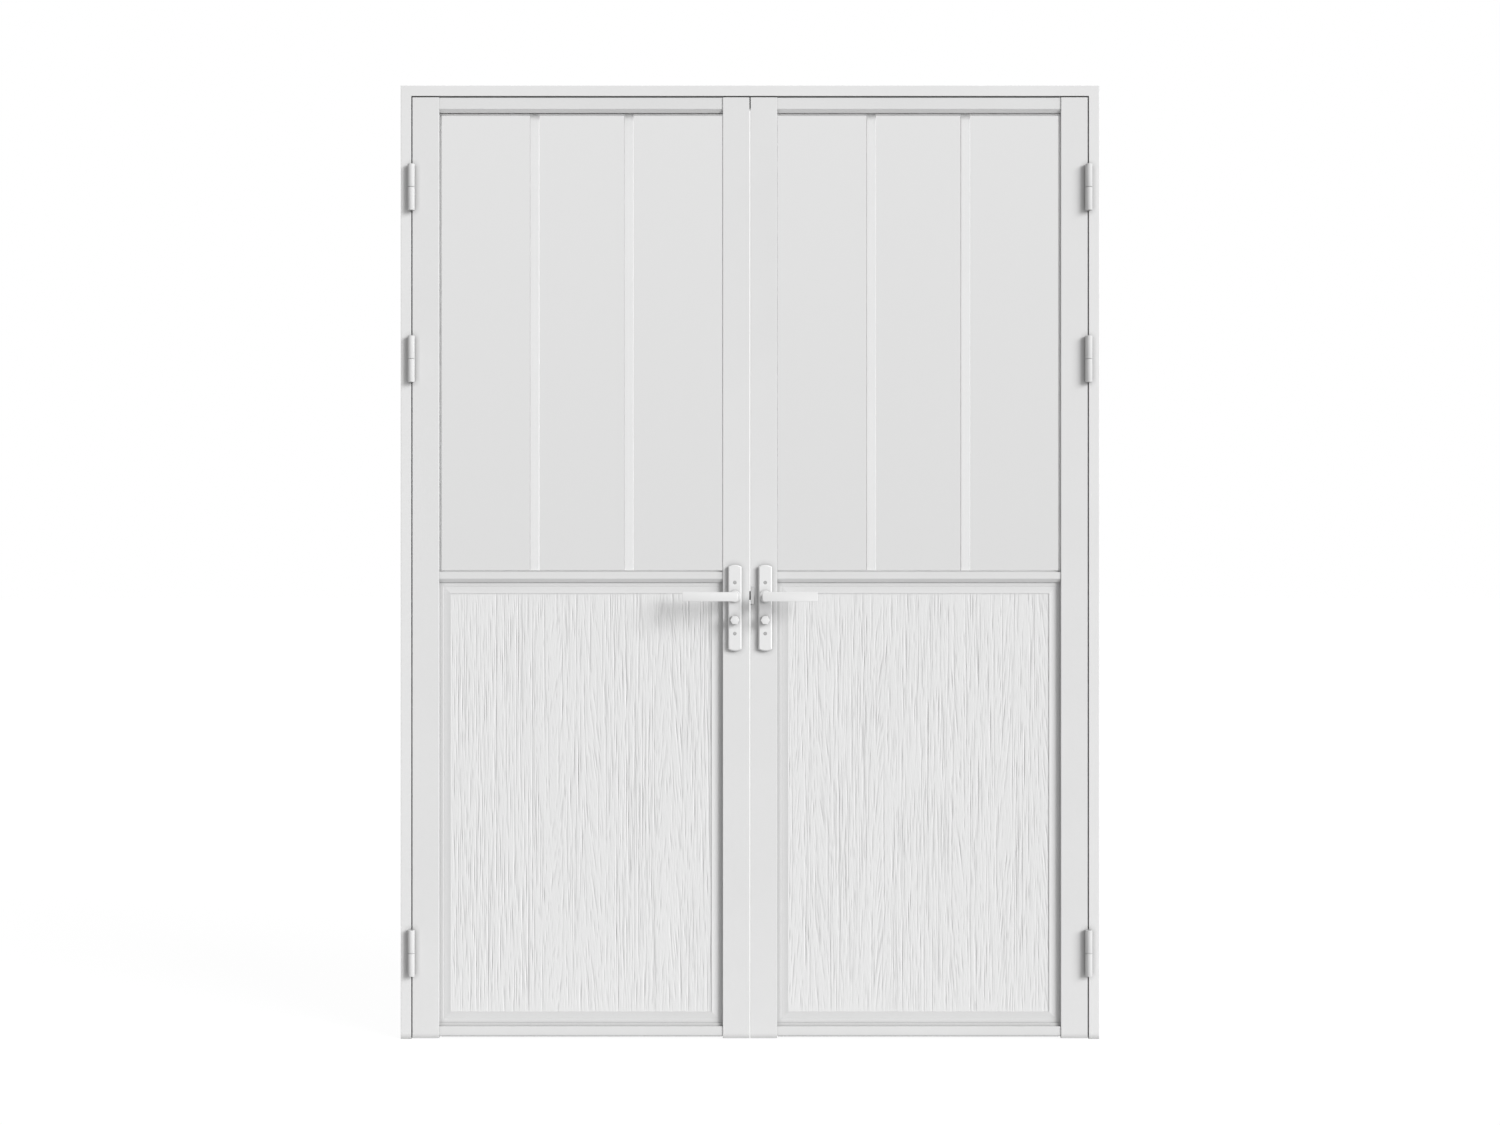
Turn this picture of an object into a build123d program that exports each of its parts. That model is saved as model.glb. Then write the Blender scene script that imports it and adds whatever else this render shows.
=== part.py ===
"""French doors: two glazed leaves in a slim frame, with hinges, lever handles, latch, dead bolt and shoot bolts.

Millimetres, +Z up. X runs across the opening and the front of the doors looks along -Y. The origin is on the
floor, midway between the jambs, in the middle of the leaves' thickness. The right half is modelled first, and
what the left half shares with it is the same shape mirrored in the YZ plane.
"""

import os

from build123d import *

# Frame
frame_width = 1600.0
frame_height = 2184.0
frame_face = 24.0
frame_wall = 2.2
stop_projection = 18.0
stop_depth = 22.0
frame_edge_ease = 0.7
seal_gap = 2.0
seal_width = 9.0
seal_clearance = 0.3
cleat_length = 70.0
cleat_play = 0.3
fixing_radius = 3.5
fixing_access_radius = 7.0
fixing_end_drop = 250.0

# Leaves
leaf_thickness = 46.0
side_gap = 2.5
centre_gap = 2.5
head_gap = 3.0
floor_gap = 2.0
stile_width = 61.0
leaf_wall = 2.2
stile_edge_ease = 0.6
stile_rebate = 10.0
infill_thickness = 24.0
cap_depth = 12.0
cap_play = 0.15
rail_setback = 2.0
rail_edge_ease = 0.7
rail_overhang = 2.5
top_nose = 26.0
top_lip = 8.0
mid_rail_base = 1054.4
mid_nose = 15.3
mid_upper_lip = 2.3
mid_lower_lip = 8.2
mid_rebate = 3.7
bottom_nose = 21.4
bottom_lip = 6.2
brush_height = 4.5
brush_setback = 6.0
brush_rise = 0.5

# Glazed unit, with bars between its two panes
unit_clearance = 2.0
pane_thickness = 4.0
spacer_sight = 1.8
bar_width = 21.0
bar_depth = 9.0
bar_edge_ease = 0.7
bar_count = 2
bar_play = 0.4
bead_wall = 1.6

# Lower panel: a core between two boards, each in a mitred moulding
board_thickness = 6.0
board_proud = 0.2
moulding_width = 26.0
moulding_band = 9.4
moulding_quirk = 0.5
moulding_quirk_width = 0.8
moulding_crest = 1.6
moulding_crest_width = 0.6
moulding_cove = 0.35
moulding_tail = 4.0

# Hinges
barrel_radius = 8.0
barrel_length = 106.0
barrel_offset = 8.5
pin_radius = 4.0
pin_end_inset = 0.5
pin_play = 0.05
knuckle_gap = 0.5
hinge_plate = 2.0
hinge_let_in = 1.0
hinge_plate_width = 32.0
hinge_plate_inset = 0.5
hinge_recess_play = 0.2
bottom_hinge_rise = 198.0
middle_hinge_drop = 627.0
top_hinge_drop = 234.0

# Handles
spindle_drop = 40.4
backset = 33.5
plate_width = 31.0
plate_height = 197.0
plate_thickness = 10.0
plate_drop = 26.5
plate_end_rise = 4.4
plate_bevel = 2.6
plate_bolt_rise = 31.7
plate_bolt_drop = 85.0
plate_bolt_radius = 4.0
plate_bolt_sink = 0.3
collar_radius = 13.5
collar_thickness = 5.0
lever_projection = 60.0
lever_height = 21.0
lever_thickness = 10.0
lever_reach = 118.7
lever_heel = 6.6
lever_heel_radius = 4.6
lever_tip_ease = 1.5
lever_bevel = 1.2
neck_radius = 6.5
spindle_side = 8.0
spindle_grip = 18.0
turn_drop = 54.0
turn_across = 21.0
turn_length = 17.0
turn_bevel = 1.6
turn_bar_side = 5.0
turn_grip = 10.0
handle_play = 0.3
bar_clearance = 1.2

# Locks and bolts
case_depth = 42.0
case_thickness = 16.0
case_above = 60.0
case_below = 110.0
forend_width = 22.0
forend_thickness = 3.0
forend_above = 90.0
forend_below = 130.0
latch_height = 20.0
latch_width = 12.0
latch_throw = 12.0
latch_rise = 1.5
bolt_tail = 12.0
bolt_play = 0.3
deadbolt_throw = 14.0
strike_thickness = 1.5
strike_plate_height = 56.0
strike_lip_height = 39.0
strike_lip_reach = 7.75
strike_lip_radius = 1.6
keep_height = 44.0
mortise_play = 1.5
gear_inset = 17.0
rod_radius = 5.0
rod_inset = 23.0
rod_throw = 15.0
rod_socket = 20.0
head_engagement = 10.0
rod_floor_gap = 0.6
rod_play = 0.4
keep_plate_length = 40.0
keep_plate_width = 24.0
keep_plate_thickness = 1.2

# Places that follow from the sizes above
front = -leaf_thickness / 2
back = leaf_thickness / 2
stop_front = back + seal_gap
frame_back = stop_front + stop_depth
half_width = frame_width / 2
jamb_inside = half_width - frame_face
head_underside = frame_height - frame_face
leaf_outer = jamb_inside - side_gap
leaf_inner = centre_gap / 2
leaf_top = head_underside - head_gap
leaf_bottom = floor_gap
sight_inner = leaf_inner + stile_width
sight_outer = leaf_outer - stile_width
infill_front = -infill_thickness / 2
infill_back = infill_thickness / 2
rail_front = front + rail_setback
spindle_height = mid_rail_base - spindle_drop
rail_back = back - rail_setback
lip_front = infill_front - rail_overhang
spindle_x = leaf_inner + backset
turn_height = spindle_height - turn_drop
latch_height_centre = spindle_height + latch_rise
hinge_axis_x = jamb_inside - side_gap / 2
hinge_axis_y = front - barrel_offset
hinge_heights = (bottom_hinge_rise, frame_height - middle_hinge_drop, frame_height - top_hinge_drop)

# Each rail's nose, as its lowest and highest points, with its lips and its rebates for the infill
bottom_base = leaf_bottom + brush_rise + brush_height
top_rail_spec = (leaf_top - top_nose, leaf_top, top_lip, 0.0, 0.0, 0.0)
mid_rail_spec = (mid_rail_base, mid_rail_base + mid_nose, mid_lower_lip, mid_upper_lip, 0.0, mid_rebate)
bottom_rail_spec = (bottom_base, bottom_base + bottom_nose, 0.0, bottom_lip, 0.0, 0.0)


def face_of(points):
    """A flat face with straight sides through these points."""
    return make_face(Polyline(*points, close=True))


def rectangle(low, high):
    """A rectangle from its low corner to its high corner."""
    return face_of([low, (high[0], low[1]), high, (low[0], high[1])])


def corners_at(face, places):
    """The face's corners that lie at these places."""
    return [
        v for v in face.vertices() if any(abs(v.X - x) < 1e-4 and abs(v.Y - y) < 1e-4 for x, y in places)
    ]


def rounded(face, corners, radius):
    """The face with these of its corners rounded."""
    return fillet(corners_at(face, corners), radius)


def eased(face, corners, size):
    """The face with the sharp edge taken off these of its corners."""
    return chamfer(corners_at(face, corners), size)


def block(x_span, y_span, z_span):
    """A plain box between the given limits."""
    size = [abs(b - a) for a, b in (x_span, y_span, z_span)]
    corner = [min(span) for span in (x_span, y_span, z_span)]
    return Pos(*corner) * Box(*size, align=(Align.MIN, Align.MIN, Align.MIN))


def upright(face, low, high):
    """A face in plan, extruded from one height to another."""
    return Pos(0, 0, low) * extrude(face, high - low, dir=(0, 0, 1))


def along_x(face, low, high):
    """A face drawn as (y, z), extruded along X."""
    return Pos(low, 0, 0) * extrude(Plane.YZ * face, high - low, dir=(1, 0, 0))


def towards_front(face, start, length):
    """A face drawn as (x, z), extruded from the plane y = start towards the front."""
    return Pos(0, start, 0) * extrude(Plane.XZ * face, length, dir=(0, -1, 0))


def rod_y(x, z, y_span, radius):
    """A round bar or hole along Y."""
    disc = Pos(x, z) * Circle(radius)
    return towards_front(disc, max(y_span), abs(y_span[1] - y_span[0]))


def rod_z(x, y, z_span, radius):
    """A round bar or hole along Z."""
    return upright(Pos(x, y) * Circle(radius), *z_span)


def rod_x(y, z, x_span, radius):
    """A round bar or hole along X."""
    return along_x(Pos(y, z) * Circle(radius), *x_span)


def square_y(x, z, y_span, side):
    """A square bar along Y, standing on a flat side."""
    return block((x - side / 2, x + side / 2), y_span, (z - side / 2, z + side / 2))


def clearance_y(x, z, y_span, reach):
    """An eight-sided clearance hole along Y, which a bar that reaches this far from its axis turns in."""
    hole = Pos(x, z) * RegularPolygon(reach + bar_clearance, 8, major_radius=False)
    return towards_front(hole, max(y_span), abs(y_span[1] - y_span[0]))


def clearance_z(x, z_span):
    """An eight-sided clearance hole along Z for a shoot-bolt rod."""
    hole = Pos(x, 0) * RegularPolygon(rod_radius + rod_play, 8, major_radius=False)
    return upright(hole, *z_span)


def mirrored(shape):
    """The shape on the other half of the doors."""
    return mirror(shape, about=Plane.YZ)


def backwards(shape):
    """The shape on the other face of the leaf."""
    return mirror(shape, about=Plane.XZ)


def one_solid(shape):
    """The shape as a single solid, which it has to be."""
    solids = shape.solids()
    assert len(solids) == 1, f"{len(solids)} solids where one was meant"
    return solids[0]


# Frame


def frame_section():
    """The frame's extrusion across its length, as (distance from the outer edge, y)."""
    face = face_of(
        [
            (0, front),
            (frame_face, front),
            (frame_face, stop_front),
            (frame_face + stop_projection, stop_front),
            (frame_face + stop_projection, frame_back),
            (0, frame_back),
        ]
    )
    soft = [
        (0, front),
        (frame_face, front),
        (frame_face + stop_projection, stop_front),
        (frame_face + stop_projection, frame_back),
    ]
    face = eased(face, soft, frame_edge_ease)
    wall = frame_wall
    chamber = face_of(
        [
            (wall, front + wall),
            (frame_face - wall, front + wall),
            (frame_face - wall, stop_front + wall),
            (frame_face + stop_projection - wall, stop_front + wall),
            (frame_face + stop_projection - wall, frame_back - wall),
            (wall, frame_back - wall),
        ]
    )
    return face - chamber


def jamb():
    """The right jamb, mitred at the top, with recesses for the hinges and holes for the wall fixings."""
    section = mirror(frame_section(), about=Plane.YZ)
    bar = upright(Pos(half_width, 0) * section, 0, frame_height)
    reach = frame_face + stop_projection
    mitre = face_of(
        [
            (half_width, frame_height),
            (half_width - 2 * reach, frame_height),
            (half_width - 2 * reach, frame_height - 2 * reach),
        ]
    )
    bar -= towards_front(mitre, frame_back + 1, frame_back - front + 2)
    for height in hinge_heights:
        bar -= hinge_recess(height, jamb_inside - 1, jamb_inside + hinge_let_in)
    stop_wall = half_width - reach
    for height in fixing_heights():
        bar -= rod_x(fixing_y(), height, (stop_wall + frame_wall + 1, half_width + 1), fixing_radius)
        access = Pos(fixing_y(), height) * RegularPolygon(fixing_access_radius, 8)
        bar -= along_x(access, stop_wall - 1, stop_wall + frame_wall + 1)
    return one_solid(bar)


def fixing_heights():
    """The heights of the wall fixings up each jamb: one near each end and one in the middle."""
    return (fixing_end_drop, frame_height / 2, frame_height - fixing_end_drop)


def fixing_y():
    """How far back the wall fixings are: the middle of the stop."""
    return stop_front + stop_depth / 2


def head():
    """The head of the frame, mitred at both ends, with a hole for the top shoot bolt."""
    wall_side = Plane(origin=(0, 0, frame_height), x_dir=(0, 0, -1), z_dir=(1, 0, 0))
    bar = Pos(-half_width, 0, 0) * extrude(wall_side * frame_section(), frame_width, dir=(1, 0, 0))
    reach = frame_face + stop_projection
    low = frame_height - 2 * reach
    mitre = face_of(
        [
            (half_width + 1, frame_height + 1),
            (half_width + 1, low - 1),
            (half_width - 2 * reach, low),
            (half_width, frame_height),
        ]
    )
    cut = towards_front(mitre, frame_back + 1, frame_back - front + 2)
    bar -= cut
    bar -= mirrored(cut)
    x = leaf_inner + rod_inset
    bar -= keep_plate_block(-1, x)
    bar -= clearance_z(x, (head_underside - 1, head_underside + frame_wall + 1))
    return one_solid(bar)


def keep_plate_block(drop, x):
    """The keep plate's block in the head's underside, with drop added below it for a cut."""
    return block(
        (x - keep_plate_length / 2, x + keep_plate_length / 2),
        (-keep_plate_width / 2, keep_plate_width / 2),
        (head_underside + min(drop, 0), head_underside + keep_plate_thickness),
    )


def top_bolt_keep():
    """The keep plate that the top shoot bolt passes through."""
    x = leaf_inner + rod_inset
    plate = keep_plate_block(0, x)
    return one_solid(plate - rod_z(x, 0, (head_underside - 1, head_underside + 5), rod_radius + rod_play))


def corner_cleat():
    """The right corner's cleat: an angle inside the hollow of the jamb and of the head."""
    outer = frame_wall + cleat_play
    inner = frame_face - frame_wall - cleat_play
    x, z = half_width, frame_height
    angle = face_of(
        [
            (x - outer, z - outer),
            (x - cleat_length, z - outer),
            (x - cleat_length, z - inner),
            (x - inner, z - inner),
            (x - inner, z - cleat_length),
            (x - outer, z - cleat_length),
        ]
    )
    depth = frame_back - front - 2 * outer
    return one_solid(towards_front(angle, frame_back - outer, depth))


def frame_seals():
    """The gaskets on the stops of the head and of the right jamb, which the leaves close on."""
    thickness = seal_gap - seal_clearance
    start = stop_front
    inset = (stop_projection - seal_width) / 2
    lip = seal_width / 4
    strip = face_of(
        [
            (0, start),
            (seal_width, start),
            (seal_width, start - thickness / 2),
            (seal_width - lip, start - thickness),
            (lip, start - thickness),
            (0, start - thickness / 2),
        ]
    )
    side = upright(
        Pos(jamb_inside - inset - seal_width, 0) * strip, 0, head_underside - inset - seal_width
    )
    across = Plane(origin=(0, 0, head_underside - inset), x_dir=(0, 0, -1), z_dir=(1, 0, 0))
    length = 2 * (jamb_inside - inset)
    top = Pos(-length / 2, 0, 0) * extrude(across * strip, length, dir=(1, 0, 0))
    return [one_solid(side), one_solid(mirrored(side)), one_solid(top)]


# Hinges


def hinge_recess(height, x_low, x_high):
    """The pocket that lets one hinge plate into an edge."""
    half = barrel_length / 2 + hinge_recess_play
    deep = front + hinge_plate_inset + hinge_plate_width + hinge_recess_play
    return block((x_low, x_high), (front - 1, deep), (height - half, height + half))


def hinge_half(height, side, upper):
    """One half of a hinge: a knuckle and its plate. side is 1 for the jamb's half and -1 for the leaf's."""
    half = barrel_length / 2
    joint = height + (knuckle_gap / 2 if upper else -knuckle_gap / 2)
    span = (joint, height + half) if upper else (height - half, joint)
    knuckle = rod_z(hinge_axis_x, hinge_axis_y, span, barrel_radius)
    edge = jamb_inside if side > 0 else leaf_outer
    deep = edge + side * hinge_let_in
    shallow = deep - side * hinge_plate
    plate_front = front + hinge_plate_inset
    plate = block(
        (shallow, deep), (plate_front, plate_front + hinge_plate_width), (height - half, height + half)
    )
    link = block((shallow, deep), (hinge_axis_y, plate_front), span)
    bore = pin_radius + (pin_play if upper else 0)
    return one_solid(knuckle + plate + link - rod_z(hinge_axis_x, hinge_axis_y, span, bore))


def hinge_pin(height):
    """The pin: fixed in the lower knuckle, and a running fit in the upper one."""
    reach = barrel_length / 2 - pin_end_inset
    return one_solid(rod_z(hinge_axis_x, hinge_axis_y, (height - reach, height + reach), pin_radius))


# Leaves


def stile_section():
    """The stile's extrusion in plan, as (distance from the leaf's edge, y), with its rebate for the infill."""
    cheek = stile_width
    web = stile_width - stile_rebate
    face = face_of(
        [
            (0, front),
            (cheek, front),
            (cheek, infill_front),
            (web, infill_front),
            (web, back),
            (0, back),
        ]
    )
    face = eased(face, [(0, front), (cheek, front), (0, back)], stile_edge_ease)
    wall = leaf_wall
    chamber = rectangle((wall, front + wall), (web - wall, back - wall))
    return face - chamber


def stile_chamber(play):
    """The hollow of the stile in plan, smaller all round by the play."""
    inset = leaf_wall + play
    return rectangle((inset, front + inset), (stile_width - stile_rebate - inset, back - inset))


def stile_caps():
    """The plugs in the two ends of a stile."""
    ends = ((leaf_bottom, leaf_bottom + cap_depth), (leaf_top - cap_depth, leaf_top))
    return [upright(stile_chamber(cap_play), *span) for span in ends]


def hinge_stile():
    """The stile on the hinge side, with the hinge pockets, and its two end plugs."""
    outward = mirror(stile_section(), about=Plane.YZ)
    bar = upright(Pos(leaf_outer, 0) * outward, leaf_bottom, leaf_top)
    for height in hinge_heights:
        bar -= hinge_recess(height, leaf_outer - hinge_let_in, leaf_outer + 1)
    plugs = [Pos(leaf_outer, 0, 0) * mirror(cap, about=Plane.YZ) for cap in stile_caps()]
    return [one_solid(bar)] + [one_solid(plug) for plug in plugs]


def turning_holes(y_span):
    """The clearance holes in which the spindle and the turn's bar turn."""
    holes = clearance_y(spindle_x, spindle_height, y_span, spindle_side / 2**0.5)
    return holes + clearance_y(spindle_x, turn_height, y_span, turn_bar_side / 2**0.5)


def handle_holes():
    """The holes through a meeting stile for the spindle, the turn's bar and the plates' bolts."""
    span = (front - 1, back + 1)
    holes = turning_holes(span)
    for z in plate_bolt_heights():
        holes += clearance_y(spindle_x, z, span, plate_bolt_radius)
    return holes


def meeting_stile(side):
    """The stile on the meeting side. The left one takes the lock, and the right one the strike and the rods."""
    bar = upright(Pos(leaf_inner, 0) * stile_section(), leaf_bottom, leaf_top)
    bar -= handle_holes()
    plugs = [Pos(leaf_inner, 0, 0) * cap for cap in stile_caps()]
    if side < 0:
        bar -= forend_block(-1)
    else:
        bar -= strike_recess()
        bar -= mortise(latch_height_centre, latch_throw)
        bar -= mortise(turn_height, deadbolt_throw)
        x = leaf_inner + rod_inset
        for index, span in enumerate(((0, leaf_bottom + 50), (leaf_top - 50, leaf_top + 1))):
            plugs[index] -= clearance_z(x, span)
    return [one_solid(bar)] + [one_solid(plug) for plug in plugs]


def forend_block(grow):
    """The forend's block in the meeting edge, with the edge side open for a cut."""
    return block(
        (leaf_inner + min(grow, 0), leaf_inner + forend_thickness),
        (-forend_width / 2, forend_width / 2),
        (spindle_height - forend_below, spindle_height + forend_above),
    )


def mortise(height, throw):
    """The hole in the right meeting stile that a bolt shoots into."""
    half = latch_height / 2 + mortise_play
    wide = latch_width / 2 + mortise_play
    depth = throw + mortise_play
    return block((leaf_inner - 1, leaf_inner + depth), (-wide, wide), (height - half, height + half))


def rail_section(spec):
    """A rail's extrusion as (y, z): a hollow nose, and lips over the infill's front. A lower lip is splayed."""
    low, high, lower_lip, upper_lip, lower_rebate, upper_rebate = spec
    face = rectangle((rail_front, low), (infill_front, high))
    web = rectangle((infill_front, low + lower_rebate), (rail_back, high - upper_rebate))
    face += web
    if upper_lip > 0:
        face += rectangle((lip_front, high - rail_edge_ease), (infill_front, high + upper_lip))
    if lower_lip > 0:
        splay = [(rail_front, low), (lip_front, low - lower_lip), (infill_front, low - lower_lip)]
        face += face_of(splay + [(infill_front, low)])
    face = eased(face, [(rail_front, high), (rail_back, low)], rail_edge_ease)
    wall = leaf_wall
    chamber = rectangle(
        (rail_front + wall, low + lower_rebate + wall), (rail_back - wall, high - upper_rebate - wall)
    )
    return face - chamber


def rail(spec):
    """A rail between the stiles. Behind the stiles' cheeks its ends run on into their rebates."""
    bar = along_x(rail_section(spec), sight_inner - stile_rebate, sight_outer + stile_rebate)
    z_span = (spec[0] - 50, spec[1] + 50)
    for edge, way in ((sight_inner, -1), (sight_outer, 1)):
        bar -= block((edge, edge + way * (stile_rebate + 1)), (front - 1, infill_front), z_span)
    return one_solid(bar)


def brush_seal():
    """The brush under the bottom rail, in its carrier."""
    low = leaf_bottom + brush_rise
    deep = rail_back - brush_setback
    carrier = rectangle((-deep, low + brush_height / 2), (deep, low + brush_height))
    bristles = rectangle((-deep * 0.6, low), (deep * 0.6, low + brush_height / 2))
    return one_solid(along_x(carrier + bristles, sight_inner + 1, sight_outer - 1))


def infill_span(lower, upper):
    """The lowest and highest points of a unit held between two rails."""
    low = lower[1] - lower[5] + unit_clearance
    high = upper[0] + upper[4] - unit_clearance
    return low, high


def infill_x():
    """The two sides of a unit held between the stiles."""
    reach = stile_rebate - unit_clearance
    return sight_inner - reach, sight_outer + reach


def opening(lower, upper):
    """The height of the open part between two rails, from lip to lip."""
    return lower[1] + lower[3], upper[0] - upper[2]


def pane(front_face):
    """One pane of the glazed unit."""
    z_span = infill_span(mid_rail_spec, top_rail_spec)
    y = infill_front if front_face else infill_back - pane_thickness
    return one_solid(block(infill_x(), (y, y + pane_thickness), z_span))


def spacer():
    """The four spacer bars round the edge of the glazed unit, which show a little past the sight line."""
    x_low, x_high = infill_x()
    z_low, z_high = infill_span(mid_rail_spec, top_rail_spec)
    open_low, open_high = opening(mid_rail_spec, top_rail_spec)
    y_span = (infill_front + pane_thickness, infill_back - pane_thickness)
    left = (x_low, sight_inner + spacer_sight)
    right = (sight_outer - spacer_sight, x_high)
    between = (left[1], right[0])
    bars = [
        block(left, y_span, (z_low, z_high)),
        block(right, y_span, (z_low, z_high)),
        block(between, y_span, (z_low, open_low + spacer_sight)),
        block(between, y_span, (open_high - spacer_sight, z_high)),
    ]
    return [one_solid(bar) for bar in bars]


def glazing_bars():
    """The upright bars inside the unit, which stand against its rear pane and divide it evenly."""
    open_low, open_high = opening(mid_rail_spec, top_rail_spec)
    z_span = (open_low + spacer_sight, open_high - spacer_sight)
    y_high = infill_back - pane_thickness - bar_play
    width = sight_outer - sight_inner
    bars = []
    for index in range(bar_count):
        x = sight_inner + width * (index + 1) / (bar_count + 1)
        section = rectangle((x - bar_width / 2, y_high - bar_depth), (x + bar_width / 2, y_high))
        corners = [(x - bar_width / 2, y_high - bar_depth), (x + bar_width / 2, y_high - bar_depth)]
        bars.append(one_solid(upright(eased(section, corners, bar_edge_ease), *z_span)))
    return bars


def beads(lower, upper):
    """The four glazing beads that hold one infill from behind."""
    low, high = lower[1] - lower[5], upper[0] + upper[4]
    nose_low, nose_high = lower[1], upper[0]
    open_low, open_high = opening(lower, upper)
    wall = bead_wall
    side = rectangle((stile_width - stile_rebate, infill_back), (stile_width, back))
    side = eased(side, [(stile_width, back)], stile_edge_ease)
    side -= rectangle(
        (stile_width - stile_rebate + wall, infill_back + wall), (stile_width - wall, back - wall)
    )
    upright_bead = upright(side, nose_low, nose_high)
    left = Pos(leaf_inner, 0, 0) * upright_bead
    right = Pos(leaf_outer, 0, 0) * mirror(upright_bead, about=Plane.YZ)
    lip_back = infill_back + rail_overhang
    bottom = rectangle((infill_back, low), (lip_back, open_low))
    if lower[5] > 0:
        bottom += rectangle((infill_back, low), (rail_back, nose_low))
    top = rectangle((infill_back, open_high), (lip_back, high))
    if upper[4] > 0:
        top += rectangle((infill_back, nose_high), (rail_back, high))
    return [
        one_solid(left),
        one_solid(right),
        one_solid(along_x(bottom, sight_inner, sight_outer)),
        one_solid(along_x(top, sight_inner, sight_outer)),
    ]


# Lower panel


def field_limits():
    """The low and high corners of the grained field, as (x, z)."""
    open_low, open_high = opening(bottom_rail_spec, mid_rail_spec)
    wide = moulding_width
    return (sight_inner + wide, open_low + wide), (sight_outer - wide, open_high - wide)


def panel_core():
    """The panel's core, held by its edges in the rebates."""
    z_span = infill_span(bottom_rail_spec, mid_rail_spec)
    deep = infill_thickness / 2 - board_thickness + board_proud
    return one_solid(block(infill_x(), (-deep, deep), z_span))


def front_board():
    """The grained board on the panel's front, inside the moulding."""
    (x_low, z_low), (x_high, z_high) = field_limits()
    y = infill_front - board_proud
    return one_solid(block((x_low, x_high), (y, y + board_thickness), (z_low, z_high)))


def moulding_section():
    """The moulding across its length, as (distance in from the sight line, height over the infill's face).

    A flat band beside the sight line ends in a small quirk. A shallow cove then rises to a crest, which
    stands a step above the board.
    """
    seat = -(board_thickness - board_proud)
    band_edge = moulding_band - moulding_quirk_width
    foot = Vector(moulding_band, -moulding_quirk)
    crest = Vector(moulding_width - moulding_crest_width, moulding_crest)
    middle = Vector((foot.X + crest.X) / 2, (foot.Y + crest.Y) / 2 - moulding_cove)
    outline = [
        Line((-moulding_tail, seat), (-moulding_tail, 0)),
        Line((-moulding_tail, 0), (band_edge, 0)),
        Line((band_edge, 0), foot),
        ThreePointArc(foot, middle, crest),
        Line(crest, (moulding_width, moulding_crest)),
        Line((moulding_width, moulding_crest), (moulding_width, seat)),
        Line((moulding_width, seat), (-moulding_tail, seat)),
    ]
    return make_face(outline)


def front_moulding():
    """The four mitred lengths of moulding round the front board."""
    low, high = opening(bottom_rail_spec, mid_rail_spec)
    left, right = sight_inner, sight_outer
    tail, wide = moulding_tail, moulding_width
    sides = (
        ((left, low), (1, 0), (0, 1), right - left),
        ((right, low), (0, 1), (-1, 0), high - low),
        ((right, high), (-1, 0), (0, -1), right - left),
        ((left, high), (0, -1), (1, 0), high - low),
    )
    section = moulding_section()
    lengths = []
    for (x, z), (ax, az), (ix, iz), length in sides:
        plane = Plane(
            origin=(x - ax * tail, infill_front, z - az * tail), x_dir=(ix, 0, iz), z_dir=(ax, 0, az)
        )
        strip = extrude(plane * section, length + 2 * tail, dir=(ax, 0, az))

        def spot(along, inward):
            return (x + ax * along + ix * inward, z + az * along + iz * inward)

        mitre = face_of(
            [spot(-tail, -tail), spot(length + tail, -tail), spot(length - wide, wide), spot(wide, wide)]
        )
        lengths.append(one_solid(strip & towards_front(mitre, 0, infill_thickness)))
    return lengths


# Handles


def plate_bolt_heights():
    """The heights of the two through bolts of a pair of backplates."""
    return (spindle_height + plate_bolt_rise, spindle_height - plate_bolt_drop)


def front_plate():
    """The front backplate: long, with shallow arched ends and bevelled edges."""
    middle = spindle_height - plate_drop
    half_w, half_h = plate_width / 2, plate_height / 2
    shoulder = half_h - plate_end_rise
    x = spindle_x
    outline = [
        Line((x - half_w, middle - shoulder), (x - half_w, middle + shoulder)),
        ThreePointArc(
            (x - half_w, middle + shoulder), (x, middle + half_h), (x + half_w, middle + shoulder)
        ),
        Line((x + half_w, middle + shoulder), (x + half_w, middle - shoulder)),
        ThreePointArc(
            (x + half_w, middle - shoulder), (x, middle - half_h), (x - half_w, middle - shoulder)
        ),
    ]
    plate = towards_front(make_face(outline), front, plate_thickness)
    plate = chamfer(plate.faces().sort_by(Axis.Y)[0].edges(), plate_bevel)
    span = (front - plate_thickness - 1, front + 1)
    plate -= turning_holes(span)
    for z in plate_bolt_heights():
        plate -= rod_y(spindle_x, z, span, plate_bolt_radius)
    return one_solid(plate)


def plate_bolt(z):
    """One sleeve bolt, which runs through the leaf and ends just under the faces of both backplates."""
    reach = leaf_thickness / 2 + plate_thickness - plate_bolt_sink
    return one_solid(rod_y(spindle_x, z, (-reach, reach), plate_bolt_radius))


def lever_arm():
    """The lever as it shows from the front, as (x, z)."""
    x_low, x_high = spindle_x - lever_heel, spindle_x + lever_reach
    z_low, z_high = spindle_height - lever_height / 2, spindle_height + lever_height / 2
    arm = rectangle((x_low, z_low), (x_high, z_high))
    arm = rounded(arm, [(x_low, z_low), (x_low, z_high)], lever_heel_radius)
    return eased(arm, [(x_high, z_low), (x_high, z_high)], lever_tip_ease)


def front_lever():
    """The front lever: a flat arm on a round neck, with a collar that covers the backplate's hole."""
    arm_back = front - lever_projection + lever_thickness
    arm = towards_front(lever_arm(), arm_back, lever_thickness)
    arm = chamfer(arm.faces().sort_by(Axis.Y)[0].edges(), lever_bevel)
    collar_back = front - plate_thickness - handle_play
    neck = rod_y(spindle_x, spindle_height, (arm_back, collar_back), neck_radius)
    collar = rod_y(
        spindle_x, spindle_height, (collar_back - collar_thickness, collar_back), collar_radius
    )
    lever = arm + neck + collar
    socket = (collar_back - spindle_grip, collar_back + 1)
    return one_solid(lever - square_y(spindle_x, spindle_height, socket, spindle_side))


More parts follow.
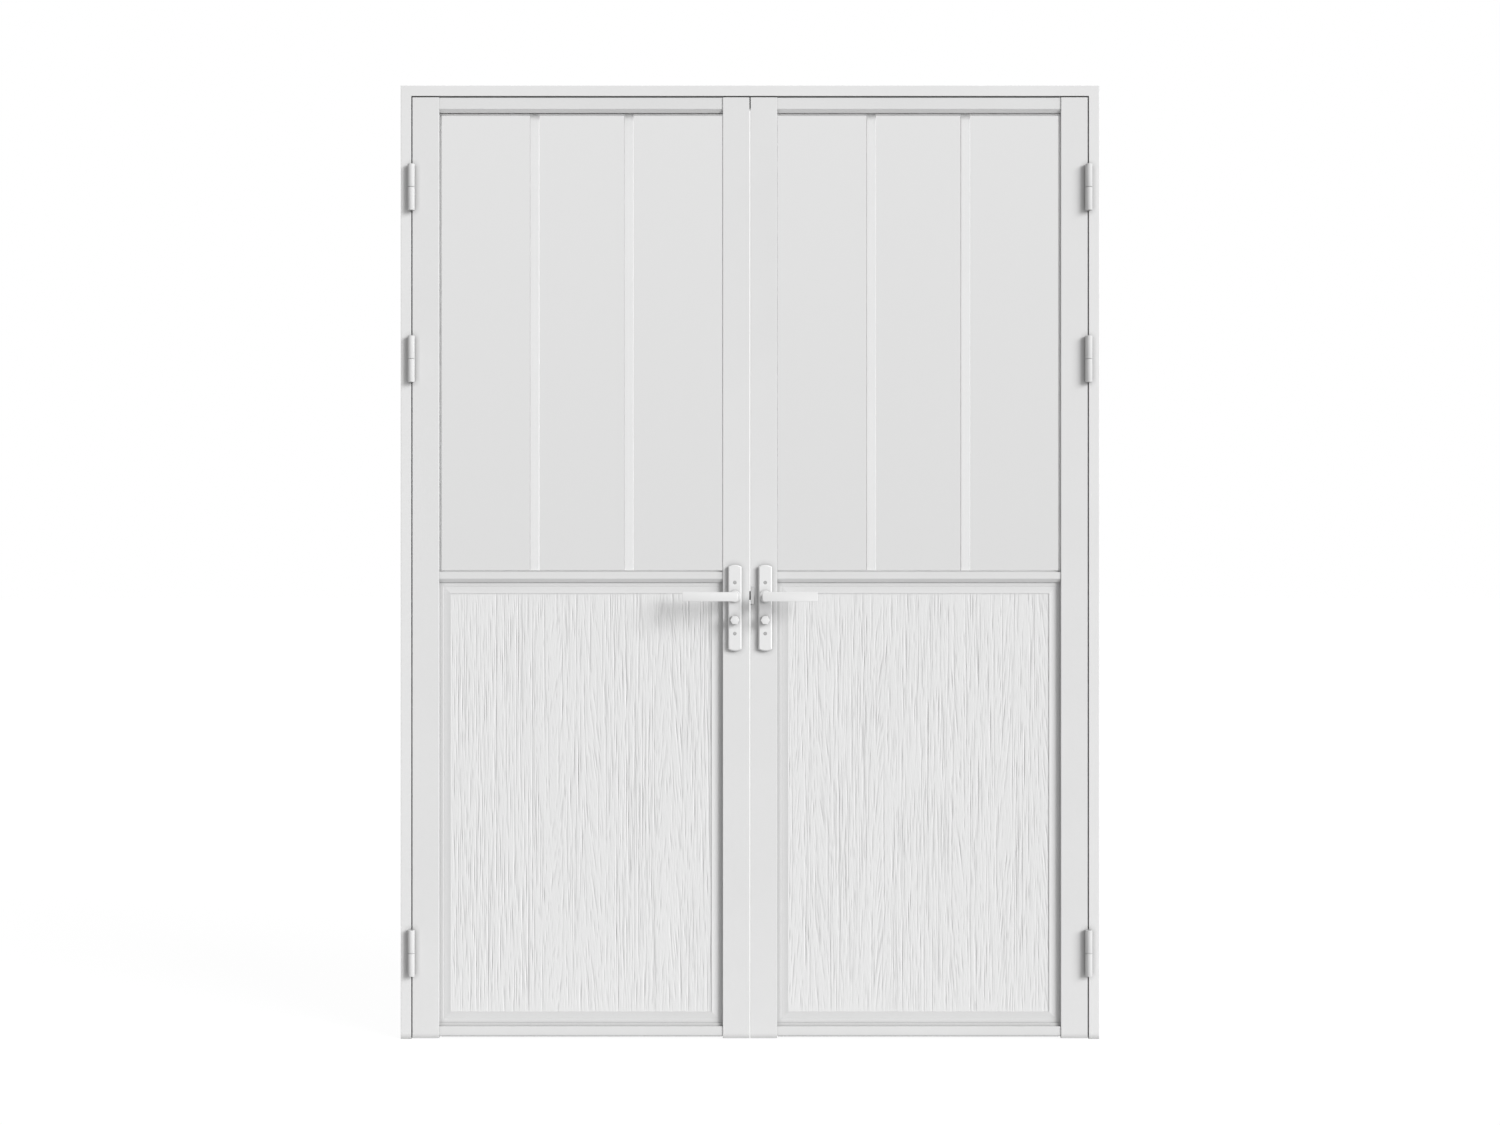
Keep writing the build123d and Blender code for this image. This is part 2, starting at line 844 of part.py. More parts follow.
def spindle():
    """The square spindle that joins the two levers."""
    reach = leaf_thickness / 2 + plate_thickness + handle_play + spindle_grip
    return one_solid(square_y(spindle_x, spindle_height, (-reach, reach), spindle_side))


def front_knob():
    """The front thumb-turn: a six-sided knob with a corner towards the hinges, softened at its end."""
    start = front - plate_thickness - handle_play
    hexagon = Pos(spindle_x, turn_height) * RegularPolygon(turn_across / 2, 6)
    knob = towards_front(hexagon, start, turn_length)
    knob = chamfer(knob.faces().sort_by(Axis.Y)[0].edges(), turn_bevel)
    socket = (start - turn_grip, start + 1)
    return one_solid(knob - square_y(spindle_x, turn_height, socket, turn_bar_side))


def turn_bar():
    """The square bar that joins the two thumb-turns."""
    reach = leaf_thickness / 2 + plate_thickness + handle_play + turn_grip
    return one_solid(square_y(spindle_x, turn_height, (-reach, reach), turn_bar_side))


# Locks and bolts, drawn on the right half and mirrored where the left leaf carries them


def case_holes():
    """The clearance holes through a case for the spindle, the turn's bar and the plates' bolts."""
    span = (-case_thickness, case_thickness)
    holes = turning_holes(span)
    for z in plate_bolt_heights():
        holes += clearance_y(spindle_x, z, span, plate_bolt_radius)
    return holes


def lock_case():
    """The lock case with its forend, which two bolts slide in."""
    start = leaf_inner + forend_thickness
    case = block(
        (start, start + case_depth),
        (-case_thickness / 2, case_thickness / 2),
        (spindle_height - case_below, spindle_height + case_above),
    )
    body = case + forend_block(0)
    body -= case_holes()
    throws = ((latch_height_centre, latch_throw), (turn_height, deadbolt_throw))
    for height, throw in throws:
        half = latch_height / 2 + bolt_play
        wide = latch_width / 2 + bolt_play
        depth = bolt_tail + throw + bolt_play
        body -= block((leaf_inner - 1, leaf_inner + depth), (-wide, wide), (height - half, height + half))
    return one_solid(body)


def latch_bolt():
    """The latch bolt, thrown across the gap, with its closing side cut to a slope."""
    tip = leaf_inner - latch_throw
    tail = leaf_inner + bolt_tail
    wide = latch_width / 2
    slope = latch_throw - centre_gap
    outline = face_of(
        [(tip, -wide), (tail, -wide), (tail, wide), (tip + slope, wide), (tip, wide - slope * 0.8)]
    )
    low = latch_height_centre - latch_height / 2
    return one_solid(upright(outline, low, low + latch_height))


def dead_bolt():
    """The dead bolt, drawn back flush with the forend."""
    span = (leaf_inner, leaf_inner + bolt_tail + deadbolt_throw - bolt_play)
    wide, half = latch_width / 2, latch_height / 2
    bolt = block(span, (-wide, wide), (turn_height - half, turn_height + half))
    return one_solid(chamfer(bolt.faces().sort_by(Axis.X)[0].edges(), 0.8))


def strike_outline():
    """The strike's lip in plan: it covers the edge, turns round the front corner and lies on the face."""
    thin, reach = strike_thickness, strike_lip_reach
    x = leaf_inner
    points = [
        (x, front - thin),
        (x + reach, front - thin),
        (x + reach, front),
        (x + thin, front),
        (x + thin, forend_width / 2),
        (x, forend_width / 2),
    ]
    return rounded(face_of(points), [points[0]], strike_lip_radius)


def strike_recess():
    """What the two strike plates need cut out of the right meeting stile's edge."""
    thin = strike_thickness
    wide = forend_width / 2
    lip = block(
        (leaf_inner - 1, leaf_inner + thin),
        (front - 1, wide),
        centred_span(latch_height_centre, strike_lip_height),
    )
    plate = block(
        (leaf_inner - 1, leaf_inner + thin),
        (-wide, wide),
        centred_span(latch_height_centre, strike_plate_height),
    )
    keep = block(
        (leaf_inner - 1, leaf_inner + thin), (-wide, wide), centred_span(turn_height, keep_height)
    )
    return lip + plate + keep


def centred_span(middle, length):
    """The two ends of a length about its middle."""
    return (middle - length / 2, middle + length / 2)


def strike_plates():
    """The latch's strike with its lip round the leaf's front corner, and the dead bolt's keep."""
    wide = forend_width / 2
    edge = (leaf_inner, leaf_inner + strike_thickness)
    lip_span = centred_span(latch_height_centre, strike_lip_height)
    strike = upright(strike_outline(), *lip_span)
    strike += block(edge, (-wide, wide), centred_span(latch_height_centre, strike_plate_height))
    keep = block(edge, (-wide, wide), centred_span(turn_height, keep_height))
    return [
        one_solid(strike - mortise(latch_height_centre, latch_throw)),
        one_solid(keep - mortise(turn_height, deadbolt_throw)),
    ]


def rod_spans():
    """Where the two shoot-bolt rods run at rest, thrown: the top one first."""
    top = (spindle_height + case_above - rod_socket, head_underside + head_engagement)
    bottom = (rod_floor_gap, spindle_height - case_below + rod_socket)
    return top, bottom


def gear_case():
    """The gear case that throws the two rods from the right lever."""
    start = leaf_inner + gear_inset
    case = block(
        (start, leaf_inner + forend_thickness + case_depth),
        (-case_thickness / 2, case_thickness / 2),
        (spindle_height - case_below, spindle_height + case_above),
    )
    case -= case_holes()
    x = leaf_inner + rod_inset
    top, bottom = rod_spans()
    drawn_top = top[0] - rod_throw - rod_play
    drawn_bottom = bottom[1] + rod_throw + rod_play
    case -= clearance_z(x, (drawn_top, top[0] + rod_socket + 1))
    case -= clearance_z(x, (bottom[1] - rod_socket - 1, drawn_bottom))
    return one_solid(case)


def shoot_bolt(span, tip_high):
    """One shoot-bolt rod, chamfered at its tip."""
    rod = rod_z(leaf_inner + rod_inset, 0, span, rod_radius)
    tip = rod.faces().sort_by(Axis.Z)[-1 if tip_high else 0]
    return one_solid(chamfer(tip.edges(), 1.5))


def save(name, solids):
    """Writes one named piece, or a group of like ones, as a file of its own."""
    solids = solids if isinstance(solids, list) else [solids]
    shape = solids[0] if len(solids) == 1 else Compound(children=solids)
    shape.label = name
    export_step(shape, f"parts/{name}.step")


def save_frame():
    """Writes the frame, its seals and its halves of the hinges."""
    right = jamb()
    save("right_jamb", right)
    save("left_jamb", mirrored(right))
    save("head", head())
    cleat = corner_cleat()
    save("corner_cleats", [cleat, mirrored(cleat)])
    save("frame_seals", frame_seals())
    save("top_bolt_keep", top_bolt_keep())
    halves = [hinge_half(height, 1, False) for height in hinge_heights]
    save("right_frame_hinges", halves)
    save("left_frame_hinges", [mirrored(half) for half in halves])
    pins = [hinge_pin(height) for height in hinge_heights]
    save("hinge_pins", pins + [mirrored(pin) for pin in pins])


def save_leaf(name, side):
    """Writes one leaf. side is 1 for the right leaf and -1 for the left."""

    def put(piece, solids):
        solids = solids if isinstance(solids, list) else [solids]
        save(f"{name}_{piece}", solids if side > 0 else [mirrored(s) for s in solids])

    put("hinge_stile", hinge_stile())
    put("meeting_stile", meeting_stile(side))
    put("top_rail", rail(top_rail_spec))
    put("mid_rail", rail(mid_rail_spec))
    put("bottom_rail", rail(bottom_rail_spec))
    put("brush_seal", brush_seal())
    put("front_pane", pane(True))
    put("rear_pane", pane(False))
    put("spacer", spacer())
    put("glazing_bars", glazing_bars())
    put("glazing_beads", beads(mid_rail_spec, top_rail_spec) + beads(bottom_rail_spec, mid_rail_spec))
    put("panel_core", panel_core())
    board = front_board()
    put("grain_boards", [board, backwards(board)])
    moulding = front_moulding()
    put("panel_moulding", moulding + [backwards(length) for length in moulding])
    put("leaf_hinges", [hinge_half(height, -1, True) for height in hinge_heights])
    plate = front_plate()
    put("front_backplate", plate)
    put("rear_backplate", backwards(plate))
    put("backplate_bolts", [plate_bolt(z) for z in plate_bolt_heights()])
    lever = front_lever()
    put("front_lever", [lever, spindle()])
    put("rear_lever", backwards(lever))
    knob = front_knob()
    put("thumb_turn", [knob, backwards(knob), turn_bar()])


def main():
    os.makedirs("parts", exist_ok=True)
    save_frame()
    save_leaf("left", -1)
    save_leaf("right", 1)
    save("lock_case", mirrored(lock_case()))
    save("latch_bolt", mirrored(latch_bolt()))
    save("dead_bolt", mirrored(dead_bolt()))
    save("strike_plates", strike_plates())
    save("gear_case", gear_case())
    top, bottom = rod_spans()
    save("top_shoot_bolt", shoot_bolt(top, True))
    save("bottom_shoot_bolt", shoot_bolt(bottom, False))


main()
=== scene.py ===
# %% [markdown]
# French doors: the finishes and the fine pieces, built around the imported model.
# Everything is in metres, in the model's own frame: X across the opening, -Y towards the viewer, Z up.
# The construction (frame, leaves, glass, hinges, locks) comes ready as a fixed frame. What is added here is
# what the eye reads as quality: the open grain of the lower boards, softened handles and hinges, screw
# heads, brush pile, and a finish for each surface.

import math
import random

import bmesh
import bpy
import numpy as np
from mathutils import Matrix, Vector


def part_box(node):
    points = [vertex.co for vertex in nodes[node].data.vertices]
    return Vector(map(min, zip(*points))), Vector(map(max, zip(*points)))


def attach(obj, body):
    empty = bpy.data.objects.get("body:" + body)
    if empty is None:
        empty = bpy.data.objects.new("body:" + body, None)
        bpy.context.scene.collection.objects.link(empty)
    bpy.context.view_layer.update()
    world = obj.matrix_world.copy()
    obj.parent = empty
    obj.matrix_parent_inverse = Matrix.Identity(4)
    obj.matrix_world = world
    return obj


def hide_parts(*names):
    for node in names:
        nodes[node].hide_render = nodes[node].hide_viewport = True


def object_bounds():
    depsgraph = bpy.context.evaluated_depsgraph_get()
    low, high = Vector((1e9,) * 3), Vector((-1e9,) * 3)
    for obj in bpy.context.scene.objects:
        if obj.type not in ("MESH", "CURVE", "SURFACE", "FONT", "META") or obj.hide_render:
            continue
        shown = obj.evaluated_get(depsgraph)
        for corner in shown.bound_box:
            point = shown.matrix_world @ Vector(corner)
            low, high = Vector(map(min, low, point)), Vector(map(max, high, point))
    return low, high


MM = 0.001
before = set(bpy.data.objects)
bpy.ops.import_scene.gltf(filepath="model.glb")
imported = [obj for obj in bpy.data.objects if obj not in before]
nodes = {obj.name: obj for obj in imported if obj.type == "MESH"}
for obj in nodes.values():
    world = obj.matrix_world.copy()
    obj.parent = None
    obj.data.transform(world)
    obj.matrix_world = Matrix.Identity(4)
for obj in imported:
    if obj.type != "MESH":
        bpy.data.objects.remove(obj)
cad_low, cad_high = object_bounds()
SIDES = {"left": -1, "right": 1}
FACES = {"front": -1, "rear": 1}
print("the model holds", len(nodes), "nodes and measures", [round(s, 4) for s in cad_high - cad_low])

# %% [markdown]
# The camera stands straight in front, level with the middle of the doors, far enough away for the whole set
# to fill most of the picture's height. A straight view keeps the uprights parallel, as a catalogue picture
# does. The distance follows from the lens: the wider the lens, the nearer the camera and the stronger the
# perspective in the reveals.

# %% Place the camera
CAMERA_DISTANCE = 4.795
CAMERA_HEIGHT = 1.0915
LENS_MM = 50.0
SENSOR_MM = 36.0


def place_camera():
    data = bpy.data.cameras.new("front_camera")
    data.lens = LENS_MM
    data.sensor_width = SENSOR_MM
    camera = bpy.data.objects.new("front_camera", data)
    camera.location = (0.0, -CAMERA_DISTANCE, CAMERA_HEIGHT)
    camera.rotation_euler = (math.radians(90), 0.0, 0.0)
    bpy.context.scene.collection.objects.link(camera)
    bpy.context.scene.camera = camera
    return camera


camera = place_camera()
print(camera.name, "stands", round(CAMERA_DISTANCE, 2), "m in front of the doors")

# %% [markdown]
# Light: one large soft lamp high on the right, and an even sky. White on white lives from shade, so the
# lamp has to rake across the face: its direction gives each groove a light wall and a dark wall. A sun lamp
# with a wide angle is the simplest soft source whose strength is the same over the whole height.
# The two strengths are chosen so that an upright face turned to the camera receives one unit in all, and a
# colour renders as it is written.

# %% Light the studio
SUN_FROM = Vector((0.731, -0.585, 0.351)).normalized()
SUN_SHARE = 0.55
SKY_SHARE = 0.45
SUN_ANGLE = math.radians(32)
FACING = Vector((0.0, -1.0, 0.0))


def light_studio():
    lamp = bpy.data.lights.new("key_lamp", "SUN")
    lamp.energy = math.pi * SUN_SHARE / SUN_FROM.dot(FACING)
    lamp.angle = SUN_ANGLE
    key = bpy.data.objects.new("key_lamp", lamp)
    key.rotation_euler = SUN_FROM.to_track_quat("Z", "Y").to_euler()
    bpy.context.scene.collection.objects.link(key)
    return lamp


def seen_directly(tree):
    """One where a ray comes from the camera, a mirror-like surface or clear glass, and nought elsewhere."""
    path = tree.nodes.new("ShaderNodeLightPath")
    total = path.outputs["Is Camera Ray"]
    for kind in ("Is Glossy Ray", "Is Transmission Ray"):
        add = tree.nodes.new("ShaderNodeMath")
        add.operation = "ADD"
        add.use_clamp = True
        tree.links.new(total, add.inputs[0])
        tree.links.new(path.outputs[kind], add.inputs[1])
        total = add.outputs[0]
    return total


def make_sky():
    world = bpy.data.worlds.new("studio")
    world.use_nodes = True
    tree = world.node_tree
    tree.nodes.clear()
    white = tree.nodes.new("ShaderNodeBackground")
    white.inputs["Strength"].default_value = 1.0
    white.inputs["Color"].default_value = (1, 1, 1, 1)
    sky = tree.nodes.new("ShaderNodeBackground")
    sky.inputs["Strength"].default_value = SKY_SHARE
    sky.inputs["Color"].default_value = (1, 1, 1, 1)
    mix = tree.nodes.new("ShaderNodeMixShader")
    out = tree.nodes.new("ShaderNodeOutputWorld")
    tree.links.new(seen_directly(tree), mix.inputs["Fac"])
    tree.links.new(sky.outputs[0], mix.inputs[1])
    tree.links.new(white.outputs[0], mix.inputs[2])
    tree.links.new(mix.outputs[0], out.inputs["Surface"])
    bpy.context.scene.world = world


key = light_studio()
make_sky()
bpy.context.scene.view_settings.view_transform = "Standard"
print("lamp strength", round(key.energy, 2), "sky", SKY_SHARE)

# %% [markdown]
# The floor is a plain pale disc. Rays from the camera see it almost as white as the sky, with a small share
# of true shading left in, so that the doors keep a faint shadow and don't float.

# %% Lay the floor
FLOOR_RADIUS = 60.0
FLOOR_SEGMENTS = 96
FLOOR_SHADING = 0.16
FLOOR_GREY = 0.62
FLOOR_WHITE = 1.12


def make_floor():
    mesh = bpy.data.meshes.new("floor")
    disc = bmesh.new()
    bmesh.ops.create_circle(disc, cap_ends=True, segments=FLOOR_SEGMENTS, radius=FLOOR_RADIUS)
    disc.to_mesh(mesh)
    disc.free()
    floor = bpy.data.objects.new("floor", mesh)
    bpy.context.scene.collection.objects.link(floor)
    paint = bpy.data.materials.new("pale_floor")
    paint.use_nodes = True
    tree = paint.node_tree
    tree.nodes.clear()
    matt = tree.nodes.new("ShaderNodeBsdfDiffuse")
    matt.inputs["Color"].default_value = (FLOOR_GREY, FLOOR_GREY, FLOOR_GREY, 1)
    glow = tree.nodes.new("ShaderNodeEmission")
    glow.inputs["Strength"].default_value = FLOOR_WHITE
    share = tree.nodes.new("ShaderNodeMath")
    share.operation = "MULTIPLY"
    share.inputs[1].default_value = 1 - FLOOR_SHADING
    mix = tree.nodes.new("ShaderNodeMixShader")
    out = tree.nodes.new("ShaderNodeOutputMaterial")
    tree.links.new(seen_directly(tree), share.inputs[0])
    tree.links.new(share.outputs[0], mix.inputs["Fac"])
    tree.links.new(matt.outputs[0], mix.inputs[1])
    tree.links.new(glow.outputs[0], mix.inputs[2])
    tree.links.new(mix.outputs[0], out.inputs["Surface"])
    mesh.materials.append(paint)
    return floor


floor = make_floor()
print(floor.name, "radius", FLOOR_RADIUS, "m")

# %% [markdown]
# Colours are noted as the grey that a picture shows, from 0 to 255, because that is how a painter's chart or
# a screen gives them. Blender's shaders want linear light, so one small function converts. The curve is the
# usual one for screens: straight in the darkest part, and a power above it.

# %% Turn a chart grey into linear light
CHART_WHITE = 255
CURVE_START = 0.04045
CURVE_SLOPE = 12.92
CURVE_OFFSET = 0.055
CURVE_POWER = 2.4


def grey(level):
    share = level / CHART_WHITE
    if share <= CURVE_START:
        return share / CURVE_SLOPE
    return ((share + CURVE_OFFSET) / (1 + CURVE_OFFSET)) ** CURVE_POWER


def plain(level):
    return (grey(level),) * 3


def shaded(colour, change):
    return tuple(c * change for c in colour)


print("chart grey 225 is", round(grey(225), 3), "in linear light")

# %% [markdown]
# Powder coat is sprayed as dry powder and baked, so it is even in colour, satin, and very slightly pebbled,
# like orange peel. It could be a plain Principled shader, but then large faces look like paper. A low, wide
# noise moves the colour by about one chart step, and a fine one feeds the Bump node. All read Object
# coordinates, so the pattern stays put when a leaf swings, and keeps its true scale in metres. The same few
# node steps come back in every finish, so each is a helper.
#
# White on white is told apart by the shade in its corners. The lamp and the sky give some of it, and the
# ambient occlusion node gives the rest: it asks how open a point is, and the coat darkens where it isn't.

# %% Helpers for finishes
RAMP_START = 0.3
RAMP_END = 0.7


def new_finish(name):
    """A new material, with its node tree, its shader and the coordinates of the piece."""
    made = bpy.data.materials.new(name)
    made.use_nodes = True
    tree = made.node_tree
    coordinates = tree.nodes.new("ShaderNodeTexCoord").outputs["Object"]
    return made, tree, tree.nodes["Principled BSDF"], coordinates


def noise_field(tree, coordinates, scale, detail=2.0, stretch=(1, 1, 1)):
    """A noise texture with this many features per metre, and its own stretch along each axis."""
    place = tree.nodes.new("ShaderNodeMapping")
    place.inputs["Scale"].default_value = stretch
    tree.links.new(coordinates, place.inputs["Vector"])
    field = tree.nodes.new("ShaderNodeTexNoise")
    field.inputs["Scale"].default_value = scale
    field.inputs["Detail"].default_value = detail
    tree.links.new(place.outputs["Vector"], field.inputs["Vector"])
    return field.outputs["Fac"]


def between(tree, factor, low, high):
    """A colour that runs from one grey to another as the factor crosses the middle of its range."""
    ramp = tree.nodes.new("ShaderNodeValToRGB")
    ramp.color_ramp.elements[0].position = RAMP_START
    ramp.color_ramp.elements[1].position = RAMP_END
    for element, colour in zip(ramp.color_ramp.elements, (low, high)):
        element.color = (*colour, 1)
    tree.links.new(factor, ramp.inputs["Fac"])
    return ramp.outputs["Color"]


def times(tree, tint, share):
    """The tint multiplied by a share that comes from another node."""
    mix = tree.nodes.new("ShaderNodeMix")
    mix.data_type = "RGBA"
    mix.blend_type = "MULTIPLY"
    mix.inputs["Factor"].default_value = 1.0
    tree.links.new(tint, mix.inputs["A"])
    tree.links.new(share, mix.inputs["B"])
    return mix.outputs["Result"]


def raise_bumps(tree, shader, height, strength, distance):
    bump = tree.nodes.new("ShaderNodeBump")
    bump.inputs["Strength"].default_value = strength
    bump.inputs["Distance"].default_value = distance
    tree.links.new(height, bump.inputs["Height"])
    tree.links.new(bump.outputs["Normal"], shader.inputs["Normal"])


print("colours run from", RAMP_START, "to", RAMP_END, "of a noise")

# %% The family of sprayed and baked coats
CORNER_REACH = 14 * MM
CORNER_RAYS = 6
CLOUDS_PER_METRE = 4.0
PEEL_HEIGHT = 0.4 * MM


def corner_shade(tree, tint, least):
    """The tint, darker where other surfaces stand close by: down to this share of it where they shut it in.

    Glass counts as a surface here, so what stands behind glass is given a least share of one.
    """
    if least >= 1:
        return tint
    near = tree.nodes.new("ShaderNodeAmbientOcclusion")
    near.samples = CORNER_RAYS
    near.inputs["Distance"].default_value = CORNER_REACH
    share = tree.nodes.new("ShaderNodeMapRange")
    share.inputs["To Min"].default_value = least
    tree.links.new(near.outputs["AO"], share.inputs["Value"])
    return times(tree, tint, share.outputs["Result"])


def coat(name, colour, roughness=0.5, peel=0.12, pebble=420.0, mottle=0.012, specular=0.35, corners=0.5):
    """A sprayed coat: faint cloudiness in colour, a fine pebbled surface, and shade in the corners."""
    made, tree, shader, coordinates = new_finish(name)
    shader.inputs["Roughness"].default_value = roughness
    shader.inputs["Specular IOR Level"].default_value = specular
    cloud = noise_field(tree, coordinates, CLOUDS_PER_METRE)
    tint = between(tree, cloud, shaded(colour, 1 - mottle), shaded(colour, 1 + mottle))
    tree.links.new(corner_shade(tree, tint, corners), shader.inputs["Base Color"])
    raise_bumps(tree, shader, noise_field(tree, coordinates, pebble), peel, PEEL_HEIGHT)
    return made


# Frame, stiles, rails and mouldings carry one white coat. Its grey steps down from the frame to the stiles,
# the recessed rails and the sunk mouldings as painted shade.
FRAME_COAT = coat("frame_powder_coat", plain(225), corners=0.25)
STILE_COAT = coat("leaf_powder_coat", plain(221), corners=0.25)
RAIL_COAT = coat("rail_powder_coat", plain(219), corners=0.35)
HANDLE_COAT = coat("handle_enamel", plain(228), roughness=0.38, peel=0.05, pebble=300.0, corners=0.3)
# The hinges are a darker grey than the other white enamel. This is painted shade, so that their lit barrels
# don't clip to white.
HINGE_COAT = coat("hinge_enamel", plain(209), roughness=0.55, peel=0.06, pebble=300.0, specular=0.12)
# The backplate screw heads are a darker grey than the plates, with strong corner darkening. This is painted
# shade for the dark of their sockets.
PLATE_SCREW_COAT = coat("plate_screw_enamel", plain(176), roughness=0.4, peel=0.05, corners=0.05)
SCREW_COAT = coat("screw_enamel", plain(226), roughness=0.4, peel=0.05, corners=0.05)
BAR_COAT = coat("bar_enamel", plain(234), roughness=0.5, peel=0.04, corners=1)
# The moulding's grey sits below the leaf's as painted shade for its sunk, sloping faces.
MOULDING_COAT = coat("moulding_paint", plain(217), roughness=0.5, peel=0.08, pebble=260.0, corners=0.35)
print("coats made:", len(bpy.data.materials))

# %% [markdown]
# The frame, the rails and the glass beads are straight bars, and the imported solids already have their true
# shape. They keep it and only get a finish, through the material slots that they came with.

# %% Put a finish on the nodes that keep their shape


def dress(material, *names):
    """Gives CAD nodes a finish through their material slots."""
    for name in names:
        node = nodes[name]
        if not node.data.materials:
            node.data.materials.append(material)
        for slot in node.material_slots:
            slot.material = material


dress(FRAME_COAT, "left_jamb", "right_jamb", "head")
for side in SIDES:
    dress(STILE_COAT, f"{side}_hinge_stile", f"{side}_meeting_stile")
    dress(RAIL_COAT, f"{side}_top_rail", f"{side}_mid_rail", f"{side}_bottom_rail", f"{side}_glazing_beads")
    dress(MOULDING_COAT, f"{side}_panel_moulding")
    dress(BAR_COAT, f"{side}_glazing_bars")
    dress(HANDLE_COAT, f"{side}_front_backplate", f"{side}_rear_backplate")
print("bars, mouldings and backplates are dressed")

# %% [markdown]
# The lower panels are faced with boards of open, brushed grain. Such a board could be a flat sheet with a
# wood picture on it, or with a bump texture. Both look printed from the side, so the strong grain is real
# relief here: a fine grid of cells, taller than wide because grain runs upright, whose points are pressed in
# along many thin strokes. A stroke is a soft groove with tapered ends. Most are short and fine, some are
# longer, and a few run far up the board. They keep roughly to evenly spaced lines, as growth rings do, and
# in some bands they lean, as where a saw has cut through a swirl. The draws are seeded, so each run gives
# the same boards. Sizes in this step are in millimetres: they are turned to metres when the board is made.

# %% Lay out the grain strokes
GRAIN_COLUMNS = 640
GRAIN_ROWS = 140
GRAIN_TAPER = 0.7
GRAIN_REACH = 2.2
GRAIN_WAVE = 70.0
GRAIN_BOW = (0.1, 0.5)
GRAIN_SHAKE = 0.16
GRAIN_DRIFT = 0.006
BAND_COUNT = 6
BAND_LEAN = (0.1, 0.2)
BAND_REACH = (14, 30)
BAND_LENGTH = 0.7
GRAIN_KINDS = {
    "fine": {
        "count": 4200, "pitch": 2.1, "length": (10, 45), "depth": (0.08, 0.3), "half_width": (0.7, 1.0),
    },
    "medium": {
        "count": 1700, "pitch": 4.6, "length": (22, 140), "depth": (0.25, 0.8), "half_width": (1.0, 1.5),
    },
    "long": {
        "count": 80, "pitch": 4.6, "length": (150, 520), "depth": (0.4, 0.8), "half_width": (1.0, 1.5),
    },
}


def leaning_bands(draw, width):
    """The bands where the grain leans: each with its middle, its reach to either side, and its lean."""
    bands = []
    for _ in range(BAND_COUNT):
        lean = draw.uniform(*BAND_LEAN) * draw.choice((-1, 1))
        bands.append((draw.uniform(0, width), draw.uniform(*BAND_REACH), lean))
    return bands


def press_stroke(depths, cell, x, z, length, depth, half_width, lean, bow):
    """Presses one groove into the grid of depths. Places and sizes are in millimetres."""
    rows, columns = depths.shape
    low_row = max(math.ceil((z - length / 2) / cell[1]), 0)
    high_row = min(math.floor((z + length / 2) / cell[1]), rows - 1)
    for row in range(low_row, high_row + 1):
        along = row * cell[1] - z
        taper = math.cos(math.pi * along / length) ** GRAIN_TAPER
        middle = x + lean * along + bow * math.sin(row * cell[1] / GRAIN_WAVE + x)
        low = max(math.ceil((middle - GRAIN_REACH * half_width) / cell[0]), 0)
        high = min(math.floor((middle + GRAIN_REACH * half_width) / cell[0]) + 1, columns)
        if low < high:
            away = (np.arange(low, high) * cell[0] - middle) / half_width
            depths[row, low:high] += depth * taper * np.exp(-away * away)


def grain_depths(width, height, seed):
    """How deep each point of the grid is pressed in, in millimetres."""
    draw = random.Random(seed)
    depths = np.zeros((GRAIN_ROWS + 1, GRAIN_COLUMNS + 1))
    cell = (width / GRAIN_COLUMNS, height / GRAIN_ROWS)
    bands = leaning_bands(draw, width)
    for kind, sizes in GRAIN_KINDS.items():
        shortest, longest = sizes["length"]
        lines = int(width / sizes["pitch"])
        for _ in range(sizes["count"]):
            x = (draw.randrange(lines) + 0.5 + draw.gauss(0, GRAIN_SHAKE)) * sizes["pitch"]
            z = draw.uniform(0, height)
            length = shortest * (longest / shortest) ** draw.random()
            lean = draw.gauss(0, GRAIN_DRIFT)
            for middle, reach, more in bands:
                if abs(x - middle) < reach and kind != "long":
                    lean += more * (1 - abs(x - middle) / reach)
                    length *= BAND_LENGTH
            depth = draw.uniform(*sizes["depth"])
            half_width = draw.uniform(*sizes["half_width"])
            bow = draw.uniform(*GRAIN_BOW)
            press_stroke(depths, cell, x, z, length, depth, half_width, lean, bow)
    return depths


print("a board has", GRAIN_COLUMNS * GRAIN_ROWS, "cells")

# %% [markdown]
# Less light reaches the bottom of a groove, so the grooves are given painted shade: the depth of each point
# is kept on the mesh as an attribute, and the material reads it to darken the grooves a little. Flecks that
# are finer than the grid are left to a bump of upright stretched noise.

# %% The grained finish
GRAIN_GREY = 226
GRAIN_ROUGHNESS = 0.55
GRAIN_SPECULAR = 0.3
GROOVE_SHADE = 0.88
GROOVE_FULL = 0.8
STREAKS_PER_METRE = 30.0
STREAK_STRETCH = (1, 1, 0.15)
STREAK_CHANGE = 0.01
FLECKS_PER_METRE = 420.0
FLECK_STRETCH = (1, 1, 0.1)
FLECK_STRENGTH = 0.6
FLECK_HEIGHT = 0.6 * MM
NOISE_DETAIL = 3.0


